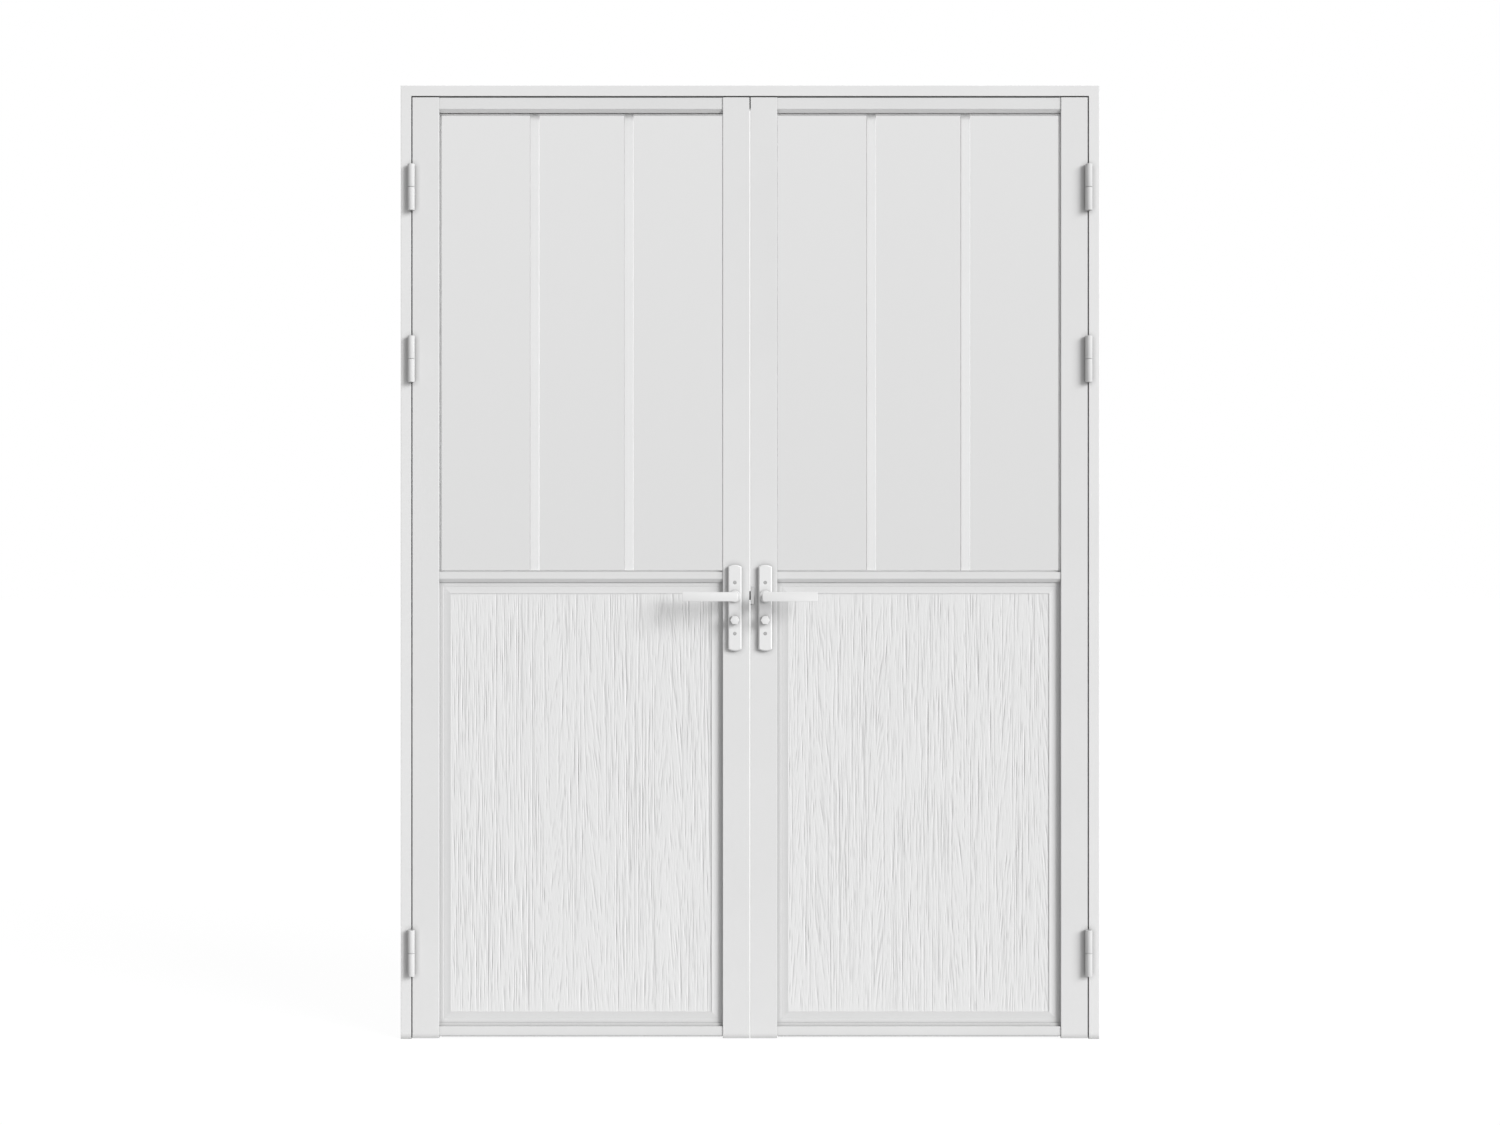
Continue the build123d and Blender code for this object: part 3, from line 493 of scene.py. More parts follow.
def grain_finish():
    made, tree, shader, coordinates = new_finish("grained_paint")
    shader.inputs["Roughness"].default_value = GRAIN_ROUGHNESS
    shader.inputs["Specular IOR Level"].default_value = GRAIN_SPECULAR
    # Painted shade: the board's colour darkens with the depth of the groove.
    depth = tree.nodes.new("ShaderNodeAttribute")
    depth.attribute_name = "groove"
    share = tree.nodes.new("ShaderNodeMapRange")
    share.inputs["From Max"].default_value = GROOVE_FULL
    share.inputs["To Min"].default_value = 1.0
    share.inputs["To Max"].default_value = GROOVE_SHADE
    tree.links.new(depth.outputs["Fac"], share.inputs["Value"])
    streaks = noise_field(tree, coordinates, STREAKS_PER_METRE, NOISE_DETAIL, STREAK_STRETCH)
    paint = plain(GRAIN_GREY)
    tint = between(tree, streaks, shaded(paint, 1 - STREAK_CHANGE), shaded(paint, 1 + STREAK_CHANGE))
    tree.links.new(times(tree, tint, share.outputs["Result"]), shader.inputs["Base Color"])
    flecks = noise_field(tree, coordinates, FLECKS_PER_METRE, NOISE_DETAIL, FLECK_STRETCH)
    raise_bumps(tree, shader, flecks, FLECK_STRENGTH, FLECK_HEIGHT)
    return made


GRAINED_PAINT = grain_finish()
print("grooves go down to", GROOVE_SHADE, "of the board's colour")

# %% [markdown]
# Each new piece needs the same few steps: make the mesh an object, give it a finish, say which body it rides
# on, and hide the plain solid that it stands for. One helper does them. Another marks the faces to be
# shaded round and keeps the corners sharp. Small helpers find the new points of an extrusion and join a part
# that was made apart.

# %% Helpers for new pieces
SHARPEST_ROUND = math.radians(35)


def add_piece(name, shape, material, body, slot, *stands_for):
    mesh = bpy.data.meshes.new(name)
    shape.to_mesh(mesh)
    shape.free()
    mesh.materials.append(material)
    piece = bpy.data.objects.new(name, mesh)
    bpy.context.scene.collection.objects.link(piece)
    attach(piece, body)
    if stands_for:
        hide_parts(*stands_for)
    return piece


def shade_round(shape):
    """Shades the faces as one round surface, apart from the edges that turn sharply."""
    for face in shape.faces:
        face.smooth = True
    for edge in shape.edges:
        edge.smooth = edge.is_manifold and edge.calc_face_angle(0) < SHARPEST_ROUND


def points_of(geometry):
    return [part for part in geometry if isinstance(part, bmesh.types.BMVert)]


def push_copy(shape, faces, way):
    """Extrudes faces by a vector and keeps the first ones, so that they become a closed block."""
    grown = bmesh.ops.extrude_face_region(shape, geom=faces, use_keep_orig=True)["geom"]
    bmesh.ops.translate(shape, vec=way, verts=points_of(grown))


def join_in(shape, part):
    """Adds a part that was made in a shape of its own, and frees that shape."""
    kept = bpy.data.meshes.new("one_part")
    part.to_mesh(kept)
    part.free()
    shape.from_mesh(kept)
    bpy.data.meshes.remove(kept)


def to_place(shape, side, face):
    """Takes a shape from the right leaf's front to this leaf and face: both are mirror images."""
    bmesh.ops.scale(shape, vec=(SIDES[side], -FACES[face], 1), verts=shape.verts)
    bmesh.ops.recalc_face_normals(shape, faces=shape.faces)


print("faces that meet at less than", round(math.degrees(SHARPEST_ROUND)), "degrees shade as one")

# %% [markdown]
# The grid starts flat, with its points in rows. It is scaled to the board, stood upright and pressed in. The
# rim is then extruded back by the board's thickness and closed, so that each board is one closed solid.
# The grid's border stays at full height, where the moulding holds it.

# %% Make the four grained boards
BOARD_THICKNESS = 6 * MM
FIRST_BOARD_SEED = 11


def board_limits():
    """The front board of the right leaf, as its low and high corners."""
    low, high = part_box("right_grain_boards")
    return low, Vector((high.x, low.y + BOARD_THICKNESS, high.z))


def grain_board(side, face, seed):
    low, high = board_limits()
    width, height = high.x - low.x, high.z - low.z
    depths = grain_depths(width / MM, height / MM, seed)
    shape = bmesh.new()
    bmesh.ops.create_grid(shape, x_segments=GRAIN_COLUMNS, y_segments=GRAIN_ROWS, size=0.5)
    groove = shape.verts.layers.float.new("groove")
    for vert in shape.verts:
        column = round((vert.co.x + 0.5) * GRAIN_COLUMNS)
        row = round((vert.co.y + 0.5) * GRAIN_ROWS)
        border = vert.is_boundary
        vert[groove] = 0.0 if border else float(depths[row, column])
        x = low.x + (vert.co.x + 0.5) * width
        z = low.z + (vert.co.y + 0.5) * height
        vert.co = (x, low.y + vert[groove] * MM, z)
    for each in shape.faces:
        each.smooth = True
    rim = [edge for edge in shape.edges if edge.is_boundary]
    for edge in rim:
        edge.smooth = False
    grown = bmesh.ops.extrude_edge_only(shape, edges=rim)["geom"]
    bmesh.ops.translate(shape, vec=(0, high.y - low.y, 0), verts=points_of(grown))
    back_rim = [edge for edge in shape.edges if edge.is_boundary]
    bmesh.ops.holes_fill(shape, edges=back_rim, sides=0)
    to_place(shape, side, face)
    name = f"{side}_{face}_board"
    return add_piece(name, shape, GRAINED_PAINT, f"{side}_leaf", "grain", f"{side}_grain_boards")


seed = FIRST_BOARD_SEED
for side in SIDES:
    for face in FACES:
        board = grain_board(side, face, seed)
        seed += 1
        print(board.name, len(board.data.polygons), "faces")

# %% [markdown]
# The levers, knobs and screw heads are handled and seen from close by, so they get real roundings. Sizes that
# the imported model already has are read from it: the spindle stands in the middle of the backplate, and the
# lever's collar tells how high. What is left is the lever's own section.

# %% Measure the handles
LEVER_HEIGHT = 21 * MM
LEVER_THICKNESS = 10 * MM
LEVER_HEEL_RADIUS = 4.6 * MM
LEVER_TIP_EASE = 0.8 * MM
LEVER_RIM = 0.7 * MM
LEVER_HEEL = 6.6 * MM
plate_low, plate_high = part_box("right_front_backplate")
lever_low, lever_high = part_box("right_front_lever")
SPINDLE_X = (plate_low.x + plate_high.x) / 2
SPINDLE_Z = (lever_low.z + lever_high.z) / 2
COLLAR_RADIUS = (lever_high.z - lever_low.z) / 2
HANDLE_GAP = 0.3 * MM
COLLAR_BACK = plate_low.y - HANDLE_GAP
print("spindle at x", round(SPINDLE_X, 4), "z", round(SPINDLE_Z, 4))
print("collar radius", round(COLLAR_RADIUS, 4))

# %% [markdown]
# A round part is quickest as half its outline, spun round its axis. The outline is drawn in the plane that
# holds the axis: each point is a radius and a place along the axis. A rim is given a few points on a small
# arc, so that it catches a thin line of light as a real turned edge does.

# %% Helpers: a block, a bevel and a spun part
SPIN_STEPS = 48
SAME_PLACE = 1e-6
NEARLY_ALONG = 0.9
RIM_STEPS = 3
ARC = [math.radians(angle) for angle in (0, 30, 60, 90)]


def block_between(shape, low, high):
    """Adds a box between two corners, and gives its points and edges."""
    made = bmesh.ops.create_cube(shape, size=1)
    verts = made["verts"]
    size = Vector(high) - Vector(low)
    bmesh.ops.scale(shape, vec=size, verts=verts)
    bmesh.ops.translate(shape, vec=(Vector(low) + Vector(high)) / 2, verts=verts)
    edges = {edge for vert in verts for edge in vert.link_edges}
    return verts, list(edges)


def soften(shape, edges, offset, segments):
    return bmesh.ops.bevel(
        shape, geom=edges, offset=offset, offset_type="OFFSET", segments=segments, profile=0.5,
        affect="EDGES", clamp_overlap=True, material=-1,
    )


def draw_chain(shape, points):
    """Draws points one after the other, each joined to the next, and gives the points and the edges."""
    verts = [shape.verts.new(point) for point in points]
    edges = [shape.edges.new(pair) for pair in zip(verts, verts[1:])]
    return verts, edges


def spin_part(shape, outline, centre, axis):
    """Spins an outline of (radius, distance along the axis) round the axis through the centre."""
    axis = Vector(axis)
    out = axis.orthogonal().normalized()
    points = [Vector(centre) + out * radius + axis * along for radius, along in outline]
    verts, edges = draw_chain(shape, points)
    bmesh.ops.spin(
        shape, geom=verts + edges, cent=centre, axis=axis, angle=math.tau, steps=SPIN_STEPS, use_merge=True,
    )
    bmesh.ops.remove_doubles(shape, verts=shape.verts, dist=SAME_PLACE)


def along_y(edge):
    return abs((edge.verts[0].co - edge.verts[1].co).normalized().y) > NEARLY_ALONG


def edges_at_y(shape, y):
    return [e for e in shape.edges if all(abs(v.co.y - y) < SAME_PLACE for v in e.verts)]


print("a spun part has", SPIN_STEPS, "steps and a rim", len(ARC), "points")

# %% [markdown]
# The lever is cast as one piece: a flat arm, a round neck and a collar that covers the hole in the plate. The
# arm is a box with a rounded heel, a nearly square tip and softened rims. The neck and the collar are one
# spun part, with a small hollow where they meet, because a casting has no sharp inner corner. The front
# lever also holds the square spindle that runs through the leaf to the rear one.

# %% Make the levers
NECK_RADIUS = 6.5 * MM
NECK_HOLLOW = 1.5 * MM
COLLAR_THICKNESS = 5 * MM
COLLAR_RIM = 0.8 * MM
SPINDLE_SIDE = 8 * MM
HEEL_STEPS = 8
BACK_RIM_STEPS = 2


def lever_arm(shape):
    low = (SPINDLE_X - LEVER_HEEL, lever_low.y, SPINDLE_Z - LEVER_HEIGHT / 2)
    high = (lever_high.x, lever_low.y + LEVER_THICKNESS, SPINDLE_Z + LEVER_HEIGHT / 2)
    _, edges = block_between(shape, low, high)
    heel = [e for e in edges if along_y(e) and e.verts[0].co.x < SPINDLE_X]
    tip = [e for e in edges if along_y(e) and e.verts[0].co.x > SPINDLE_X]
    soften(shape, heel, LEVER_HEEL_RADIUS, HEEL_STEPS)
    soften(shape, tip, LEVER_TIP_EASE, RIM_STEPS)
    soften(shape, edges_at_y(shape, lever_low.y), LEVER_RIM, RIM_STEPS)
    soften(shape, edges_at_y(shape, high[1]), LEVER_RIM / 2, BACK_RIM_STEPS)


def neck_and_collar(shape):
    collar_front = COLLAR_BACK - COLLAR_THICKNESS
    arm_back = lever_low.y + LEVER_THICKNESS
    rim = [
        (COLLAR_RADIUS - COLLAR_RIM * (1 - math.cos(a)), collar_front + COLLAR_RIM * (1 - math.sin(a)))
        for a in ARC
    ]
    hollow = [
        (NECK_RADIUS + NECK_HOLLOW * (1 - math.sin(a)), collar_front - NECK_HOLLOW * (1 - math.cos(a)))
        for a in ARC
    ]
    outline = [(0, COLLAR_BACK), (COLLAR_RADIUS, COLLAR_BACK), *rim, *hollow]
    outline += [(NECK_RADIUS, arm_back - LEVER_RIM), (0, arm_back - LEVER_RIM)]
    spin_part(shape, outline, (SPINDLE_X, 0, SPINDLE_Z), (0, 1, 0))


def make_lever(side, face):
    shape = bmesh.new()
    lever_arm(shape)
    neck_and_collar(shape)
    if face == "front":
        half = SPINDLE_SIDE / 2
        low = (SPINDLE_X - half, COLLAR_BACK, SPINDLE_Z - half)
        block_between(shape, low, (SPINDLE_X + half, -COLLAR_BACK, SPINDLE_Z + half))
    to_place(shape, side, face)
    shade_round(shape)
    return add_piece(
        f"{side}_{face}_handle", shape, HANDLE_COAT, f"{side}_levers", "levers", f"{side}_{face}_lever"
    )


for side in SIDES:
    for face in FACES:
        handle = make_lever(side, face)
        print(handle.name, len(handle.data.polygons), "faces")

# %% [markdown]
# The thumb-turn is a six-sided knob on each face, joined through the leaf by a thin square bar. A circle of
# six points, extruded and softened, is all it takes. It is stood upright with two of its corners to the
# sides, and the rear knob is a mirrored copy of the front one.

# %% Make the thumb-turns
turn_low, turn_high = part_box("right_thumb_turn")
TURN_Z = (turn_low.z + turn_high.z) / 2
TURN_RADIUS = (turn_high.x - turn_low.x) / 2
TURN_EDGE = 0.3 * MM
TURN_RIM = 0.7 * MM
TURN_BAR_SIDE = 5 * MM
UPRIGHT = Matrix.Rotation(math.radians(90), 4, "X")
CORNERS_TO_SIDES = Matrix.Rotation(math.radians(30), 4, "Z")


def hexagon_knob(shape):
    made = bmesh.ops.create_circle(shape, cap_ends=True, segments=6, radius=TURN_RADIUS)
    bmesh.ops.transform(shape, matrix=UPRIGHT @ CORNERS_TO_SIDES, verts=made["verts"])
    bmesh.ops.translate(shape, vec=(SPINDLE_X, COLLAR_BACK, TURN_Z), verts=made["verts"])
    push_copy(shape, shape.faces[:], (0, turn_low.y - COLLAR_BACK, 0))
    sides = [edge for edge in shape.edges if along_y(edge)]
    soften(shape, sides, TURN_EDGE, RIM_STEPS)
    soften(shape, edges_at_y(shape, turn_low.y), TURN_RIM, RIM_STEPS)


def make_turn(side):
    shape = bmesh.new()
    hexagon_knob(shape)
    copy = bmesh.ops.duplicate(shape, geom=shape.verts[:] + shape.edges[:] + shape.faces[:])["geom"]
    bmesh.ops.scale(shape, vec=(1, -1, 1), verts=points_of(copy))
    half = TURN_BAR_SIDE / 2
    low = (SPINDLE_X - half, COLLAR_BACK, TURN_Z - half)
    block_between(shape, low, (SPINDLE_X + half, -COLLAR_BACK, TURN_Z + half))
    to_place(shape, side, "front")
    shade_round(shape)
    return add_piece(f"{side}_turn_knobs", shape, HANDLE_COAT, f"{side}_turn", "levers", f"{side}_thumb_turn")


for side in SIDES:
    turn = make_turn(side)
    print(turn.name, len(turn.data.polygons), "faces")

# %% [markdown]
# All the screws here have a round head with a six-sided socket for a key. The head is a disc with a softened
# rim. Its face is inset to a smaller ring of points, these are drawn to a hexagon, and the hexagon is
# extruded inwards. The operator leaves the first hexagon where it was, as a lid over the socket: at this size
# only its outline shows. One helper makes a head anywhere, facing any way, and a piece is a group of them.

# %% Helper: a screw head with a socket
HEAD_SEGMENTS = 24
HEAD_RIM_SHARE = 0.09
HEAD_RIM_STEPS = 2
SOCKET_DEPTH_IN_RADII = 1.6
SOCKET_DEPTH_IN_LENGTH = 0.7
HALF_SIDE_ANGLE = math.radians(30)
SCREW_PROUD = 0.1 * MM


def outer_ring(start, radius):
    """The edges round the front of a head that lies in the plane of X and Y."""
    points = {v for v in start.verts if abs(v.co.z) < SAME_PLACE and v.co.length > radius - SAME_PLACE}
    return [edge for edge in start.edges if points.issuperset(edge.verts)]


def screw_head(shape, centre, towards, radius, length, socket):
    """A head of this radius, from its centre back by a length, facing a direction, with its socket."""
    start = bmesh.new()
    bmesh.ops.create_circle(start, cap_ends=True, segments=HEAD_SEGMENTS, radius=radius)
    push_copy(start, start.faces[:], (0, 0, -length))
    bmesh.ops.recalc_face_normals(start, faces=start.faces)
    top = max(start.faces, key=lambda f: f.calc_center_median().z)
    bmesh.ops.inset_region(start, faces=[top], thickness=radius - socket, use_even_offset=True)
    for vert in top.verts:
        angle = math.atan2(vert.co.y, vert.co.x)
        turned = (angle % (2 * HALF_SIDE_ANGLE)) - HALF_SIDE_ANGLE
        reach = socket * math.cos(HALF_SIDE_ANGLE) / math.cos(turned)
        vert.co.x, vert.co.y = reach * math.cos(angle), reach * math.sin(angle)
    sunk = bmesh.ops.extrude_face_region(start, geom=[top])["geom"]
    deep = min(length * SOCKET_DEPTH_IN_LENGTH, socket * SOCKET_DEPTH_IN_RADII)
    bmesh.ops.translate(start, vec=(0, 0, -deep), verts=points_of(sunk))
    soften(start, outer_ring(start, radius), radius * HEAD_RIM_SHARE, HEAD_RIM_STEPS)
    turn = Vector(towards).to_track_quat("Z", "Y").to_matrix().to_4x4()
    bmesh.ops.transform(start, matrix=Matrix.Translation(centre) @ turn, verts=start.verts)
    bmesh.ops.recalc_face_normals(start, faces=start.faces)
    join_in(shape, start)


print("a screw head has", HEAD_SEGMENTS, "segments")

# %% Fit the screws of the backplates
bolt_low, bolt_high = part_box("right_backplate_bolts")
BOLT_RADIUS = (bolt_high.x - bolt_low.x) / 2
BOLT_SOCKET = 2.1 * MM
BOLT_HEIGHTS = (bolt_low.z + BOLT_RADIUS, bolt_high.z - BOLT_RADIUS)
for side in SIDES:
    shape = bmesh.new()
    for height in BOLT_HEIGHTS:
        for way in FACES.values():
            centre = (SIDES[side] * SPINDLE_X, way * bolt_high.y, height)
            screw_head(shape, centre, (0, way, 0), BOLT_RADIUS, bolt_high.y, BOLT_SOCKET)
    shade_round(shape)
    bolts = add_piece(
        f"{side}_plate_screws", shape, PLATE_SCREW_COAT, f"{side}_leaf", "screws", f"{side}_backplate_bolts"
    )
    print(bolts.name, len(bolts.data.polygons), "faces")

# %% [markdown]
# A hinge here is two knuckles on one pin, each with a plate let into an edge. The CAD knuckles have sharp
# ends. Real ones are faced and slightly rounded, which draws the thin dark line where the two meet. Each
# knuckle is a closed outline of its wall, spun round the pin, so that the bore is open and the pin shows.

# %% Make the hinges
BARREL_LENGTH = 106 * MM
BARREL_RADIUS = 8 * MM
BARREL_BORE = 4.05 * MM
BARREL_EDGE = 0.9 * MM
KNUCKLE_GAP = 0.5 * MM
BOTTOM_HINGE_RISE = 198 * MM
MIDDLE_HINGE_DROP = 627 * MM
TOP_HINGE_DROP = 234 * MM
HINGE_HEIGHTS = (BOTTOM_HINGE_RISE, cad_high.z - MIDDLE_HINGE_DROP, cad_high.z - TOP_HINGE_DROP)
PLATE_THICKNESS = 2 * MM
frame_half_low, frame_half_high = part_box("right_frame_hinges")
AXIS_X = frame_half_low.x + BARREL_RADIUS
AXIS_Y = frame_half_low.y + BARREL_RADIUS
PLATE_FRONT = -22.5 * MM
PLATE_BACK = frame_half_high.y
PLATE_PARTING = 0.25 * MM
PLATE_X = {
    "frame": (AXIS_X + PLATE_PARTING, AXIS_X + PLATE_PARTING + PLATE_THICKNESS),
    "leaf": (AXIS_X - PLATE_PARTING - PLATE_THICKNESS, AXIS_X - PLATE_PARTING),
}


def knuckle(shape, low, high):
    """One knuckle between two heights, with its two ends rounded over."""
    lower = [
        (BARREL_RADIUS - BARREL_EDGE * (1 - math.sin(a)), low + BARREL_EDGE * (1 - math.cos(a)))
        for a in ARC
    ]
    upper = [(radius, high - (z - low)) for radius, z in reversed(lower)]
    outline = [(BARREL_BORE, low), *lower, *upper, (BARREL_BORE, high)]
    ring = bmesh.new()
    spin_part(ring, outline + [outline[0]], (AXIS_X, AXIS_Y, 0), (0, 0, 1))
    bmesh.ops.recalc_face_normals(ring, faces=ring.faces)
    join_in(shape, ring)


def hinge_half(shape, height, part):
    """One half of a hinge: the upper knuckle for the leaf or the lower one for the frame, and its plate."""
    half = BARREL_LENGTH / 2
    if part == "leaf":
        span = (height + KNUCKLE_GAP / 2, height + half)
    else:
        span = (height - half, height - KNUCKLE_GAP / 2)
    knuckle(shape, *span)
    x_low, x_high = PLATE_X[part]
    block_between(shape, (x_low, PLATE_FRONT, height - half), (x_high, PLATE_BACK, height + half))
    web_front = AXIS_Y + BARREL_BORE
    block_between(shape, (x_low, web_front, span[0]), (x_high, PLATE_FRONT, span[1]))


for side in SIDES:
    for part, body in (("frame", "frame"), ("leaf", f"{side}_leaf")):
        shape = bmesh.new()
        for height in HINGE_HEIGHTS:
            hinge_half(shape, height, part)
        to_place(shape, side, "front")
        shade_round(shape)
        halves = add_piece(
            f"{side}_{part}_hinge_halves", shape, HINGE_COAT, body, "hinges", f"{side}_{part}_hinges"
        )
        print(halves.name, len(halves.data.polygons), "faces")

# %% [markdown]
# Four screws hold each plate. They show when a leaf stands open. They are new pieces that no plain solid
# stands for, because they are small fasteners. Each place is a height from the hinge's middle and a depth.

# %% Screw the hinges on
HINGE_SCREW_RADIUS = 3.4 * MM
HINGE_SCREW_SOCKET = 1.6 * MM
HINGE_SCREW_LENGTH = 1.4 * MM
HINGE_SCREW_PLACES = ((-40 * MM, -13 * MM), (-14 * MM, 0.0), (14 * MM, -13 * MM), (40 * MM, 0.0))
PLATE_FACES = {"frame": (PLATE_X["frame"][0], -1), "leaf": (PLATE_X["leaf"][1], 1)}


for side in SIDES:
    for part, body in (("frame", "frame"), ("leaf", f"{side}_leaf")):
        face_x, way = PLATE_FACES[part]
        shape = bmesh.new()
        for height in HINGE_HEIGHTS:
            for rise, deep in HINGE_SCREW_PLACES:
                centre = (face_x + way * SCREW_PROUD, deep, height + rise)
                screw_head(
                    shape, centre, (way, 0, 0), HINGE_SCREW_RADIUS, HINGE_SCREW_LENGTH, HINGE_SCREW_SOCKET
                )
        to_place(shape, side, "front")
        shade_round(shape)
        screws = add_piece(f"{side}_{part}_hinge_screws", shape, SCREW_COAT, body, "screws")
        print(screws.name, len(screws.data.polygons), "faces")

# %% [markdown]
# Bare metal parts hide in the leaf's edge: the lock case, bolts, strikes and pins are zinc-plated or turned
# steel. Brushing or turning leaves fine lines, made here by a noise that is stretched fifty times along them.

# %% Plated and turned steel
LINES_PER_METRE = 900.0
LINE_DARK = 0.93
LINE_BRIGHT = 1.05
LINE_SMOOTHER = 0.06
LINE_ROUGHER = 0.08
LINE_STRENGTH = 0.15
LINE_HEIGHT = 0.2 * MM
LONG = 1 / 50


def steel(name, level, roughness, stretch):
    made, tree, shader, coordinates = new_finish(name)
    shader.inputs["Metallic"].default_value = 1.0
    lines = noise_field(tree, coordinates, LINES_PER_METRE, NOISE_DETAIL, stretch)
    tint = between(tree, lines, shaded(plain(level), LINE_DARK), shaded(plain(level), LINE_BRIGHT))
    tree.links.new(tint, shader.inputs["Base Color"])
    rough = tree.nodes.new("ShaderNodeMapRange")
    rough.inputs["To Min"].default_value = roughness - LINE_SMOOTHER
    rough.inputs["To Max"].default_value = roughness + LINE_ROUGHER
    tree.links.new(lines, rough.inputs["Value"])
    tree.links.new(rough.outputs["Result"], shader.inputs["Roughness"])
    raise_bumps(tree, shader, lines, LINE_STRENGTH, LINE_HEIGHT)
    return made


PLATED = steel("plated_steel", 196, 0.36, (1, 1, LONG))
TURNED = steel("turned_steel", 190, 0.3, (LONG, LONG, 1))
CAST = steel("cast_aluminium", 184, 0.55, (1, 1, 1))
# The latch, the dead bolt and the strike's lip are near-black: painted shade of the gap and of the lip's
# edge.
SHADED_BOLT_STEEL = steel("bolt_steel_painted_shade", 48, 0.34, (LONG, 1, 1))
SATIN_SPACER = steel("spacer_aluminium", 205, 0.42, (LONG, 1, LONG))
dress(PLATED, "lock_case", "gear_case", "strike_plates", "top_bolt_keep")
dress(SHADED_BOLT_STEEL, "latch_bolt", "dead_bolt")
dress(TURNED, "hinge_pins", "top_shoot_bolt", "bottom_shoot_bolt")
dress(CAST, "corner_cleats")
for side in SIDES:
    dress(SATIN_SPACER, f"{side}_spacer")
print("finishes made:", len(bpy.data.materials))

# %% [markdown]
# The lock's forend and the strikes are each held by two screws in the leaf's meeting edge. Their heads stand
# a tenth of a millimetre proud, so that they don't share a plane with the plate.

# %% Screw the forend and the strikes on
EDGE_SCREW_RADIUS = 3.1 * MM
EDGE_SCREW_SOCKET = 1.5 * MM
EDGE_SCREW_LENGTH = 1.2 * MM
FOREND_SCREW_INSET = 9 * MM
STRIKE_SCREW_INSET = 5.5 * MM
lock_low, lock_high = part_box("lock_case")
strike_low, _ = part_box("strike_plates")
latch_low, latch_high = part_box("latch_bolt")
STRIKE_HALF = 28 * MM
KEEP_HALF = 22 * MM
latch_middle = (latch_low.z + latch_high.z) / 2
FOREND_SCREWS = (lock_low.z + FOREND_SCREW_INSET, lock_high.z - FOREND_SCREW_INSET)
STRIKE_SCREWS = [
    middle + way * (half - STRIKE_SCREW_INSET)
    for middle, half in ((latch_middle, STRIKE_HALF), (TURN_Z, KEEP_HALF))
    for way in (-1, 1)
]


def edge_screws(name, heights, face_x, way, body):
    shape = bmesh.new()
    for height in heights:
        centre = (face_x + way * SCREW_PROUD, 0.0, height)
        screw_head(shape, centre, (way, 0, 0), EDGE_SCREW_RADIUS, EDGE_SCREW_LENGTH, EDGE_SCREW_SOCKET)
    shade_round(shape)
    return add_piece(name, shape, PLATED, body, "screws")


forend_screws = edge_screws("forend_screws", FOREND_SCREWS, lock_high.x, 1, "left_leaf")
strike_screws = edge_screws("strike_screws", STRIKE_SCREWS, strike_low.x, -1, "right_leaf")
print(forend_screws.name, len(FOREND_SCREWS), "and", strike_screws.name, len(STRIKE_SCREWS))

# %% [markdown]
# The latch strike has a rolled lip that laps over the front edge of the right leaf and leads the latch in.
# From the front it is a short dark curve beside the gap: its near-black steel is painted shade. Two curves
# are drawn, one inside the other, bridged to a flat band, and the band is extruded off the leaf's face. A
# sine raised to a power below one gives the curve its shoulders.

# %% Make the lip of the latch strike
LIP_LOW = 994.5 * MM
LIP_HIGH = 1033.5 * MM
LIP_REACH = 5.6 * MM
LIP_WIDTH = 2.2 * MM
LIP_PROUD = 0.8 * MM
LIP_STEPS = 20
LIP_SHOULDER = 0.55


def lip_curve(reach, half):
    """Points of a curve that leaves the leaf's edge, runs down beside it and comes back."""
    middle = (LIP_LOW + LIP_HIGH) / 2
    turns = [math.pi * step / LIP_STEPS for step in range(LIP_STEPS + 1)]
    points = []
    for turn in turns:
        out = reach * max(math.sin(turn), 0) ** LIP_SHOULDER
        points.append(Vector((strike_low.x + out, plate_high.y, middle + half * math.cos(turn))))
    return points


shape = bmesh.new()
lip_half = (LIP_HIGH - LIP_LOW) / 2
_, outside = draw_chain(shape, lip_curve(LIP_REACH, lip_half))
_, inside = draw_chain(shape, lip_curve(LIP_REACH - LIP_WIDTH, lip_half - LIP_WIDTH))
bmesh.ops.bridge_loops(shape, edges=outside + inside)
push_copy(shape, shape.faces[:], (0, -LIP_PROUD, 0))
bmesh.ops.recalc_face_normals(shape, faces=shape.faces)
lip = add_piece("strike_lip", shape, SHADED_BOLT_STEEL, "right_leaf", "plates")
print(lip.name, len(lip.data.polygons), "faces")

# %% [markdown]
# Rubber seals, foam core and brush pile are dull and soft. Dull black rubber is never quite black.

# %% Rubber, foam and pile
RUBBER = coat("seal_rubber", plain(46), roughness=0.75, peel=0.25, pebble=900.0, mottle=0.05, specular=0.25)
FOAM = coat("foam_core", plain(205), roughness=0.9, peel=0.6, pebble=500.0, mottle=0.04, specular=0.1)
PILE = coat("brush_pile", plain(120), roughness=0.9, peel=0.4, pebble=1500.0, mottle=0.08, specular=0.1)
dress(RUBBER, "frame_seals")
for side in SIDES:
    dress(FOAM, f"{side}_panel_core")
print("dull finishes:", RUBBER.name, FOAM.name, PILE.name)

# %% [markdown]
# A draught brush is a strip of stiff pile held in a channel under the bottom rail. A bar with a hair texture
# would look like felt, so the pile is a bed of small tufts: square cones, each set down with a slightly
# different lean. Each has few faces, because there are hundreds.

# %% Make the draught brushes
TUFT_PITCH = 3.2 * MM
TUFT_ROWS = 5
TUFT_FOOT = 1.3 * MM
TUFT_TIP = 0.8 * MM
TUFT_LEAN = math.radians(5)
TUFT_CLEARANCE = 0.1 * MM
PILE_SHARE_OF_WIDTH = 0.6
PILE_SHARE_OF_HEIGHT = 0.5
CHANNEL_EASE = 0.3 * MM
CHANNEL_EASE_STEPS = 2
FIRST_BRUSH_SEED = 31


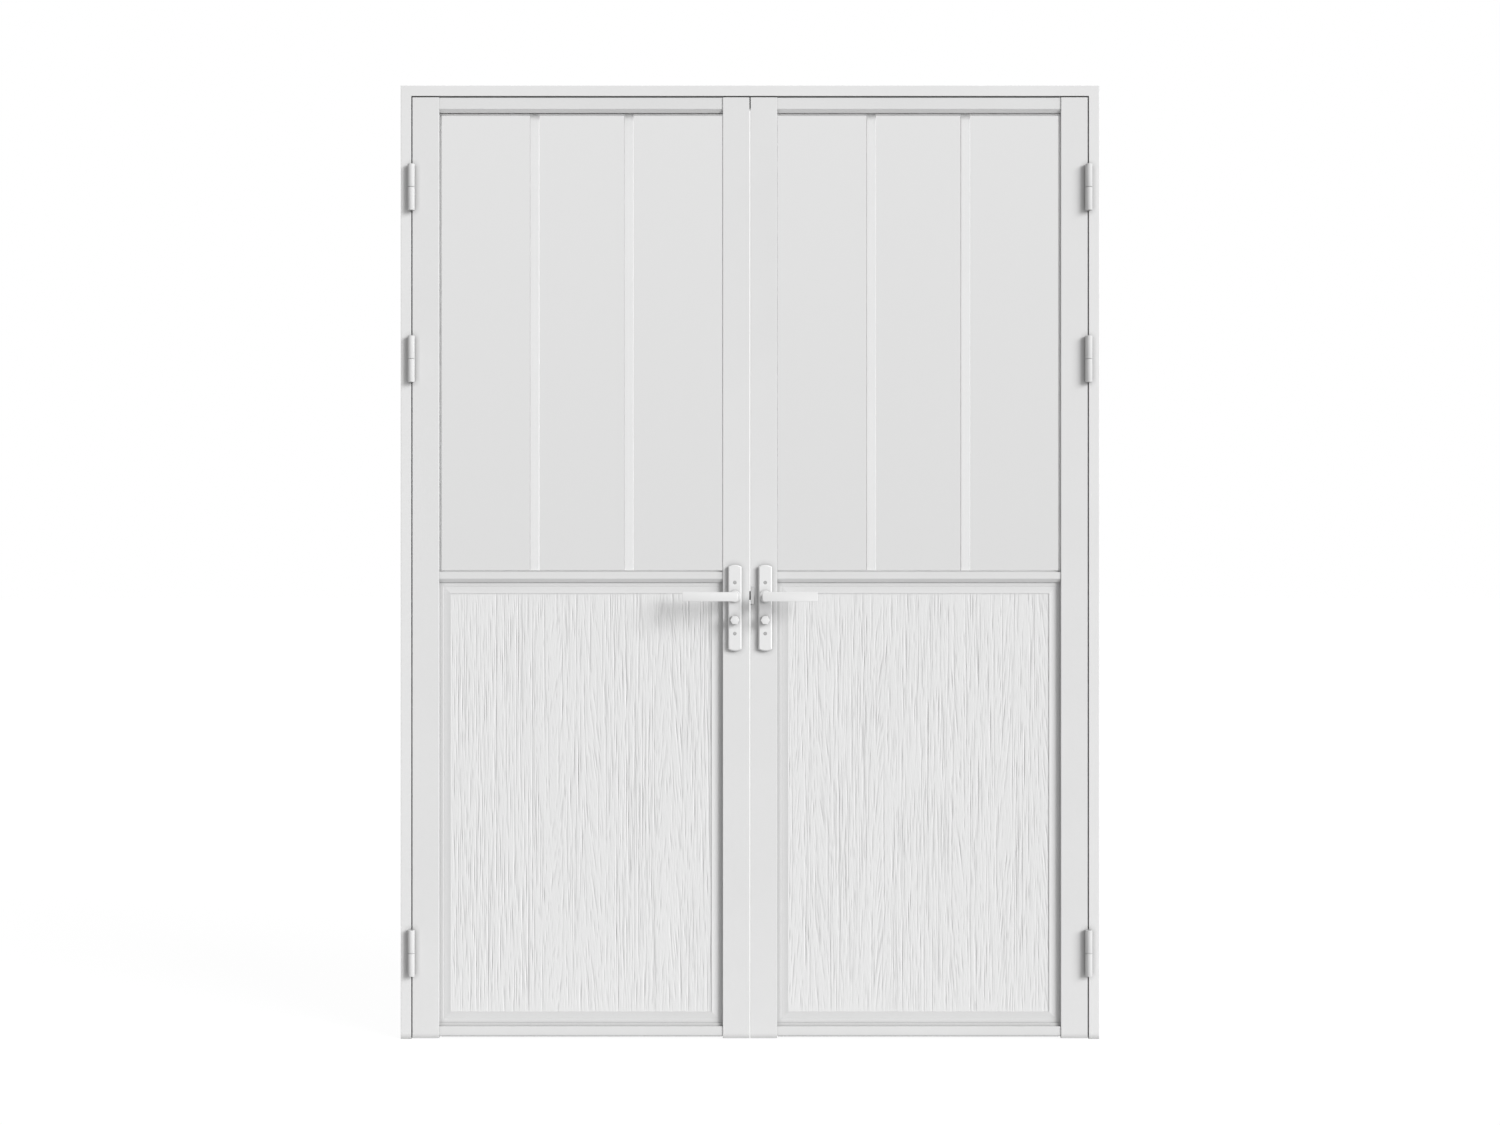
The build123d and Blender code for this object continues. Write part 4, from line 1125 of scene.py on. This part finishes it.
def draught_brush(side, seed):
    low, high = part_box("right_brush_seal")
    pile_top = low.z + (high.z - low.z) * PILE_SHARE_OF_HEIGHT
    shape = bmesh.new()
    _, edges = block_between(shape, (low.x, low.y, pile_top), high)
    soften(shape, edges, CHANNEL_EASE, CHANNEL_EASE_STEPS)
    draw = random.Random(seed)
    deep = high.y * PILE_SHARE_OF_WIDTH - TUFT_FOOT
    count = int((high.x - low.x - 2 * TUFT_FOOT) / TUFT_PITCH)
    length = pile_top - low.z
    for column in range(count):
        for row in range(TUFT_ROWS):
            x = low.x + TUFT_FOOT + (column + 0.5) * TUFT_PITCH
            y = -deep + 2 * deep * row / (TUFT_ROWS - 1)
            lean = Matrix.Rotation(draw.uniform(-TUFT_LEAN, TUFT_LEAN), 4, "X")
            lean @= Matrix.Rotation(draw.uniform(-TUFT_LEAN, TUFT_LEAN), 4, "Y")
            place = Matrix.Translation((x, y, low.z + length / 2 + TUFT_CLEARANCE)) @ lean
            bmesh.ops.create_cone(
                shape, cap_ends=True, segments=4, radius1=TUFT_TIP, radius2=TUFT_FOOT,
                depth=length - 2 * TUFT_CLEARANCE, matrix=place,
            )
    to_place(shape, side, "front")
    shade_round(shape)
    return add_piece(f"{side}_draught_brush", shape, PILE, f"{side}_leaf", "brush", f"{side}_brush_seal")


for index, side in enumerate(SIDES):
    brush = draught_brush(side, FIRST_BRUSH_SEED + index)
    print(brush.name, len(brush.data.polygons), "faces")

# %% [markdown]
# Glass: two thin panes with the bars between them. A full refracting glass shader needs closed caustic
# paths that a studio render rarely finds, and turns dark. A thin-pane mix does what the eye expects:
# mostly see-through, with a mirror coat that grows at a slant (Fresnel). The mirror is only on the faces that
# a ray enters by: on its way out, Fresnel would turn slanted lamp light back and leave the bars in the dark.
# The rear pane is tinted, so the white behind reads as a pale grey; the grey deepens towards the bottom as
# painted shade.

# %% Glaze the leaves
PANE_ROUGHNESS = 0.02
PANE_IOR = 1.25
CLEAR_SHARE = 0.99
# The drop in light let through, from the top to the bottom, is painted shade.
SMOKED_SHARE_TOP = 0.885
SMOKED_SHARE_BOTTOM = 0.86


def thin_glass(name, top, bottom, low_z, high_z):
    """A thin pane that lets one share of light through at the bottom and another at the top."""
    made = bpy.data.materials.new(name)
    made.use_nodes = True
    tree = made.node_tree
    tree.nodes.clear()
    coordinates = tree.nodes.new("ShaderNodeTexCoord").outputs["Object"]
    parts = tree.nodes.new("ShaderNodeSeparateXYZ")
    tree.links.new(coordinates, parts.inputs[0])
    rise = tree.nodes.new("ShaderNodeMapRange")
    rise.inputs["From Min"].default_value = low_z
    rise.inputs["From Max"].default_value = high_z
    tree.links.new(parts.outputs["Z"], rise.inputs["Value"])
    ramp = tree.nodes.new("ShaderNodeValToRGB")
    for element, share in zip(ramp.color_ramp.elements, (bottom, top)):
        element.color = (share, share, share, 1)
    tree.links.new(rise.outputs["Result"], ramp.inputs["Fac"])
    clear = tree.nodes.new("ShaderNodeBsdfTransparent")
    tree.links.new(ramp.outputs["Color"], clear.inputs["Color"])
    mirror = tree.nodes.new("ShaderNodeBsdfGlossy")
    mirror.inputs["Roughness"].default_value = PANE_ROUGHNESS
    slant = tree.nodes.new("ShaderNodeFresnel")
    slant.inputs["IOR"].default_value = PANE_IOR
    facing = tree.nodes.new("ShaderNodeNewGeometry")
    outside = tree.nodes.new("ShaderNodeMath")
    outside.operation = "SUBTRACT"
    outside.inputs[0].default_value = 1.0
    tree.links.new(facing.outputs["Backfacing"], outside.inputs[1])
    gloss = tree.nodes.new("ShaderNodeMath")
    gloss.operation = "MULTIPLY"
    tree.links.new(slant.outputs[0], gloss.inputs[0])
    tree.links.new(outside.outputs[0], gloss.inputs[1])
    mix = tree.nodes.new("ShaderNodeMixShader")
    out = tree.nodes.new("ShaderNodeOutputMaterial")
    tree.links.new(gloss.outputs[0], mix.inputs["Fac"])
    tree.links.new(clear.outputs[0], mix.inputs[1])
    tree.links.new(mirror.outputs[0], mix.inputs[2])
    tree.links.new(mix.outputs[0], out.inputs["Surface"])
    return made


pane_low, pane_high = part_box("right_rear_pane")
CLEAR_PANE = thin_glass("clear_pane", CLEAR_SHARE, CLEAR_SHARE, pane_low.z, pane_high.z)
SMOKED_PANE = thin_glass("smoked_pane", SMOKED_SHARE_TOP, SMOKED_SHARE_BOTTOM, pane_low.z, pane_high.z)
for side in SIDES:
    dress(CLEAR_PANE, f"{side}_front_pane")
    dress(SMOKED_PANE, f"{side}_rear_pane")
print("panes from", round(pane_low.z, 3), "to", round(pane_high.z, 3), "m")
